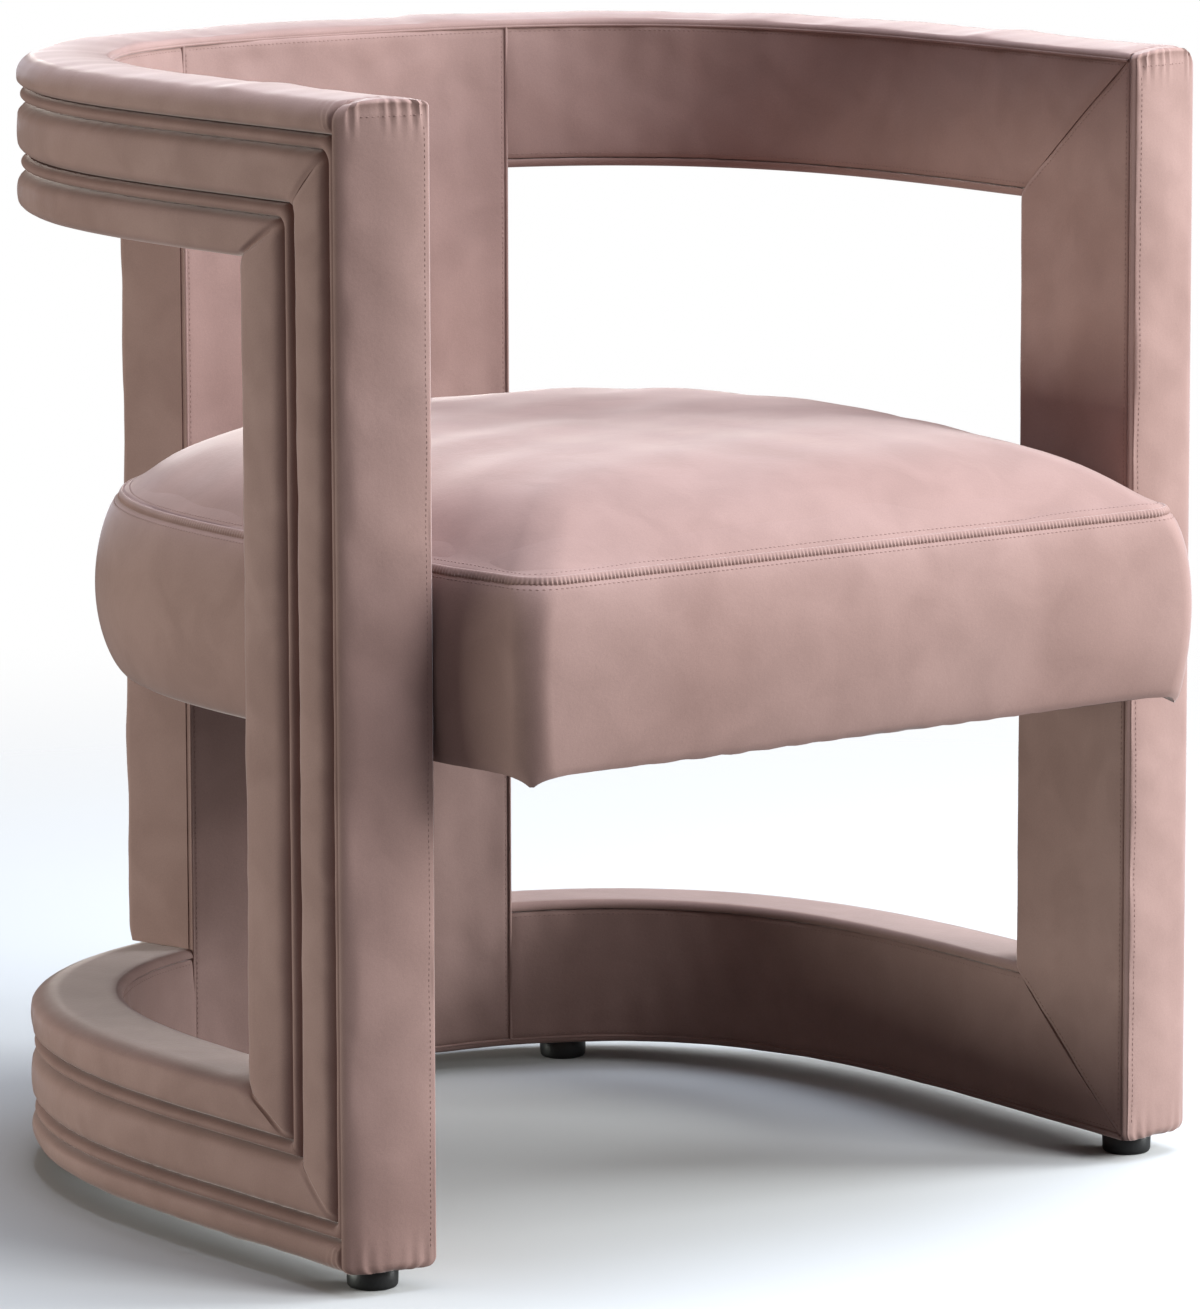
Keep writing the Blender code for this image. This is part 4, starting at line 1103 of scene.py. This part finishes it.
def mix_node(nodes, links, kind, share, first, second):
    made = nodes.new("ShaderNodeMix")
    made.data_type = "RGBA"
    made.blend_type = kind
    if isinstance(share, float):
        made.inputs["Factor"].default_value = share
    else:
        links.new(share, made.inputs["Factor"])
    for socket, value in ((made.inputs["A"], first), (made.inputs["B"], second)):
        if isinstance(value, tuple):
            socket.default_value = (*value, 1.0)
        else:
            links.new(value, socket)
    return made.outputs["Result"]


def bump_node(nodes, links, height, strength, distance):
    made = nodes.new("ShaderNodeBump")
    set_inputs(made, {"Strength": strength, "Distance": distance})
    links.new(height, made.inputs["Height"])
    return made


def shader_mix(nodes, links, share, first, second, output):
    """Sends a mix of two shaders to the output."""
    made = nodes.new("ShaderNodeMixShader")
    links.new(share, made.inputs["Fac"])
    links.new(first, made.inputs[1])
    links.new(second, made.inputs[2])
    links.new(made.outputs["Shader"], nodes[output].inputs["Surface"])


def grey(value):
    return (value, value, value)


def velvet(name, dark, light, sheen, sheen_tint):
    """Short-pile velvet: patches of pile brushed either way, small crushed marks and fine grain."""
    made, nodes, links = node_tree(name)
    shader = nodes["Principled BSDF"]
    coords = nodes.new("ShaderNodeTexCoord").outputs["Object"]
    patches = noise_node(nodes, links, coords, 5.0, 1.0, 0.4)
    brushed = noise_node(nodes, links, coords, 26.0, 3.0, 0.5)
    pile = noise_node(nodes, links, coords, 1400.0, 2.0)
    weave = noise_node(nodes, links, coords, 420.0, 3.0)
    middle = tuple((a + b) / 2 for a, b in zip(dark, light))
    base = ramp_node(nodes, links, patches, [(0.34, dark), (0.50, middle), (0.66, light)])
    marks = ramp_node(nodes, links, brushed, [(0.38, grey(0.955)), (0.50, grey(1.0)), (0.64, grey(1.045))])
    base = mix_node(nodes, links, "MULTIPLY", 1.0, base, marks)
    grain = ramp_node(nodes, links, pile, [(0.3, grey(0.90)), (0.7, grey(1.08))])
    base = mix_node(nodes, links, "MULTIPLY", 0.6, base, grain)
    links.new(base, shader.inputs["Base Color"])
    rough = ramp_node(nodes, links, brushed, [(0.35, grey(0.86)), (0.65, grey(0.74))])
    links.new(rough, shader.inputs["Roughness"])
    set_inputs(shader, {"Specular IOR Level": 0.18, "Sheen Weight": sheen, "Sheen Roughness": 0.30})
    set_inputs(shader, {"Sheen Tint": (*sheen_tint, 1.0)})
    soft = bump_node(nodes, links, brushed, 0.24, 0.0012)
    fine = bump_node(nodes, links, weave, 0.28, 0.0003)
    links.new(soft.outputs["Normal"], fine.inputs["Normal"])
    links.new(fine.outputs["Normal"], shader.inputs["Normal"])
    return made


def speckled(name, dark, light, scale, roughness, bump, metallic=0.0, stretch=(1, 1, 1)):
    """A noise-coloured material for plastic, cloth, foam, steel or, stretched, timber grain."""
    made, nodes, links = node_tree(name)
    shader = nodes["Principled BSDF"]
    mapping = nodes.new("ShaderNodeMapping")
    mapping.inputs["Scale"].default_value = stretch
    links.new(nodes.new("ShaderNodeTexCoord").outputs["Object"], mapping.inputs["Vector"])
    value = noise_node(nodes, links, mapping.outputs["Vector"], scale, 5.0, 0.3, 0.6)
    links.new(ramp_node(nodes, links, value, [(0.3, dark), (0.7, light)]), shader.inputs["Base Color"])
    spread_rough = [(0.3, grey(roughness * 0.85)), (0.7, grey(min(roughness * 1.15, 1.0)))]
    links.new(ramp_node(nodes, links, value, spread_rough), shader.inputs["Roughness"])
    shader.inputs["Metallic"].default_value = metallic
    relief = bump_node(nodes, links, value, bump, 0.0004)
    links.new(relief.outputs["Normal"], shader.inputs["Normal"])
    return made


def dress_frame(surfaces):
    """Better materials on the CAD nodes that stay: timber, foam and fixings."""
    for node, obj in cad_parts.items():
        for words, surface in surfaces:
            if words in node:
                obj.data.materials.clear()
                obj.data.materials.append(surface)
                break


# ---- studio
def add_area(name, location, size, power, colour):
    """A soft light that faces the middle of the chair."""
    light = bpy.data.lights.new(name, "AREA")
    light.shape = "RECTANGLE"
    light.size, light.size_y = size
    light.energy = power
    light.color = colour
    obj = bpy.data.objects.new(name, light)
    obj.location = location
    towards = Vector(LIGHT_TARGET) - Vector(location)
    obj.rotation_euler = towards.to_track_quat("-Z", "Y").to_euler()
    bpy.context.scene.collection.objects.link(obj)


AMBIENT = (0.135, 0.112, 0.104)
LIGHT_TARGET = (0.0, 0.0, 0.35)
LIGHTS = [  # name, place, size, watts, colour
    ("key", (3.3, -1.6, 2.0), (1.6, 1.6), 162, (0.97, 1.04, 1.07)),
    ("low_key", (3.2, -2.2, 0.8), (1.2, 1.2), 80, (0.97, 1.0, 1.0)),
    ("front", (1.4, -3.4, 2.2), (1.6, 1.6), 126, (0.99, 1.03, 1.04)),
    ("top", (0.6, -0.3, 3.2), (2.4, 2.4), 124, (0.90, 1.02, 1.20)),
    ("left_fill", (-2.7, 1.75, 0.3), (1.6, 0.4), 70, (1.0, 1.04, 0.95)),
]
FLOOR_SIZE = 4.0
FLOOR_GREY = 0.60
FLOOR_BOUNCE = 0.19  # the floor's grey as the chair is lit by it
FLOOR_CLEAR = 0.7  # radius where the floor starts to fade into the white surroundings
FLOOR_GONE = 2.2  # radius where it is gone


def pale_floor():
    """A pale floor that fades out, away from the chair, into the white surroundings."""
    made, nodes, links = node_tree("floor")
    shader = nodes["Principled BSDF"]
    seen = nodes.new("ShaderNodeLightPath").outputs["Is Camera Ray"]
    tone = mix_node(nodes, links, "MIX", seen, grey(FLOOR_BOUNCE), grey(FLOOR_GREY))
    links.new(tone, shader.inputs["Base Color"])
    shader.inputs["Roughness"].default_value = 0.8
    length = nodes.new("ShaderNodeVectorMath")
    length.operation = "LENGTH"
    links.new(nodes.new("ShaderNodeTexCoord").outputs["Object"], length.inputs[0])
    fade = nodes.new("ShaderNodeMapRange")
    fade.interpolation_type = "SMOOTHSTEP"
    set_inputs(fade, {"From Min": FLOOR_CLEAR, "From Max": FLOOR_GONE})
    links.new(length.outputs["Value"], fade.inputs["Value"])
    clear = nodes.new("ShaderNodeBsdfTransparent").outputs["BSDF"]
    faded = fade.outputs["Result"]
    shader_mix(nodes, links, faded, shader.outputs["BSDF"], clear, "Material Output")
    return made


def make_studio():
    """Floor, surroundings and lights."""
    floor_mesh = bpy.data.meshes.new("floor")
    corners = [(x * FLOOR_SIZE, y * FLOOR_SIZE, 0) for x, y in ((-1, -1), (1, -1), (1, 1), (-1, 1))]
    floor_mesh.from_pydata(corners, [], [(0, 1, 2, 3)])
    floor = bpy.data.objects.new("floor", floor_mesh)
    floor_mesh.materials.append(pale_floor())
    bpy.context.scene.collection.objects.link(floor)
    world = bpy.data.worlds.new("studio")
    world.use_nodes = True
    nodes, links = world.node_tree.nodes, world.node_tree.links
    ambient = nodes["Background"]
    backdrop = nodes.new("ShaderNodeBackground")
    for background, colour in ((ambient, AMBIENT), (backdrop, grey(1.0))):
        set_inputs(background, {"Color": (*colour, 1.0)})
    seen = nodes.new("ShaderNodeLightPath").outputs["Is Camera Ray"]
    outputs = ambient.outputs["Background"], backdrop.outputs["Background"]
    shader_mix(nodes, links, seen, *outputs, "World Output")
    bpy.context.scene.world = world
    bpy.context.scene.view_settings.view_transform = "Standard"
    for light in LIGHTS:
        add_area(*light)


CAMERA_PLACE = (-2.7892, -3.8028, 1.0950)
CAMERA_AZIMUTH = math.radians(-36.511)
CAMERA_ELEVATION = math.radians(9.193)
CAMERA_ROLL = math.radians(-0.168)
CAMERA_LENS = 203.5
SENSOR = 36.0


def make_camera():
    """A long lens from the left of the chair's front, a little above its top."""
    data = bpy.data.cameras.new("camera")
    data.lens = CAMERA_LENS
    data.sensor_width = SENSOR
    data.clip_start, data.clip_end = 0.1, 60
    camera = bpy.data.objects.new("camera", data)
    level = math.cos(CAMERA_ELEVATION)
    back_x, back_y = math.sin(CAMERA_AZIMUTH) * level, -math.cos(CAMERA_AZIMUTH) * level
    back = Vector((back_x, back_y, math.sin(CAMERA_ELEVATION)))
    turn = (-back).to_track_quat("-Z", "Y").to_matrix().to_4x4()
    camera.matrix_world = Matrix.Translation(CAMERA_PLACE) @ turn @ Matrix.Rotation(CAMERA_ROLL, 4, "Z")
    bpy.context.scene.collection.objects.link(camera)
    bpy.context.scene.camera = camera


# ---- assembly
def main():
    cloth = velvet("velvet", (0.270, 0.167, 0.146), (0.305, 0.195, 0.173), 0.66, (1.0, 0.89, 0.88))
    # A darker copy of the same velvet: painted shade on the welts, which sit recessed between the rolls;
    # the stitches' thread is given this material too
    welt = velvet("velvet_welt", (0.225, 0.134, 0.117), (0.270, 0.168, 0.148), 0.42, (1.0, 0.87, 0.85))
    plastic = speckled("black_plastic", grey(0.008), grey(0.016), 900.0, 0.38, 0.15)
    plywood = speckled("plywood", (0.40, 0.25, 0.13), (0.60, 0.42, 0.25), 24.0, 0.6, 0.3, stretch=(1, 1, 9))
    steel = speckled("zinc_steel", grey(0.45), grey(0.62), 260.0, 0.34, 0.1, metallic=1.0)
    foam = speckled("foam", (0.66, 0.58, 0.36), (0.80, 0.74, 0.52), 700.0, 0.95, 0.8)
    dust = speckled("dust_cloth", grey(0.010), grey(0.030), 1500.0, 0.9, 0.6)

    for k, band in enumerate(BANDS):
        for part in ("top", "bottom", "left", "right"):
            # Welts take the darker copy of the velvet, which is painted shade of their recess
            make_channel(part, k, welt if "welt" in band else cloth)
    for is_top in (True, False):
        make_edge_cover(is_top, cloth)
        for side_name, side in (("left", -1), ("right", 1)):
            make_rail_inner(is_top, side_name, side, cloth)
            make_rail_reveal(is_top, side_name, side, cloth)
    for side_name, side in (("left", -1), ("right", 1)):
        make_front_cover(side_name, side, cloth)
        make_post_inner(side_name, side, cloth)
        make_post_reveal(side_name, side, cloth)
    make_back_inner(cloth)
    make_back_outer(cloth)
    make_beads(cloth)
    make_boxing(cloth)
    make_seat_top(cloth)
    seam_path, seam_out = make_seat_seam(cloth)
    add_stitches("seat_stitches", seat_rows(seam_path, seam_out), welt)
    add_stitches("stitches_left", side_rows("left", -1), welt)
    add_stitches("stitches_right", side_rows("right", 1), welt)
    add_stitches("back_stitches", back_rows(), welt)
    make_dust_cover(dust)
    for node in FOOT_NODES:
        make_foot(node, plastic)
    dress_frame([("foot_screw", steel), ("seat_bolt", steel), ("seat_foam", foam), ("core", plywood),
                 ("seat_deck", plywood), ("seat_frame", plywood)])
    make_studio()
    make_camera()


main()
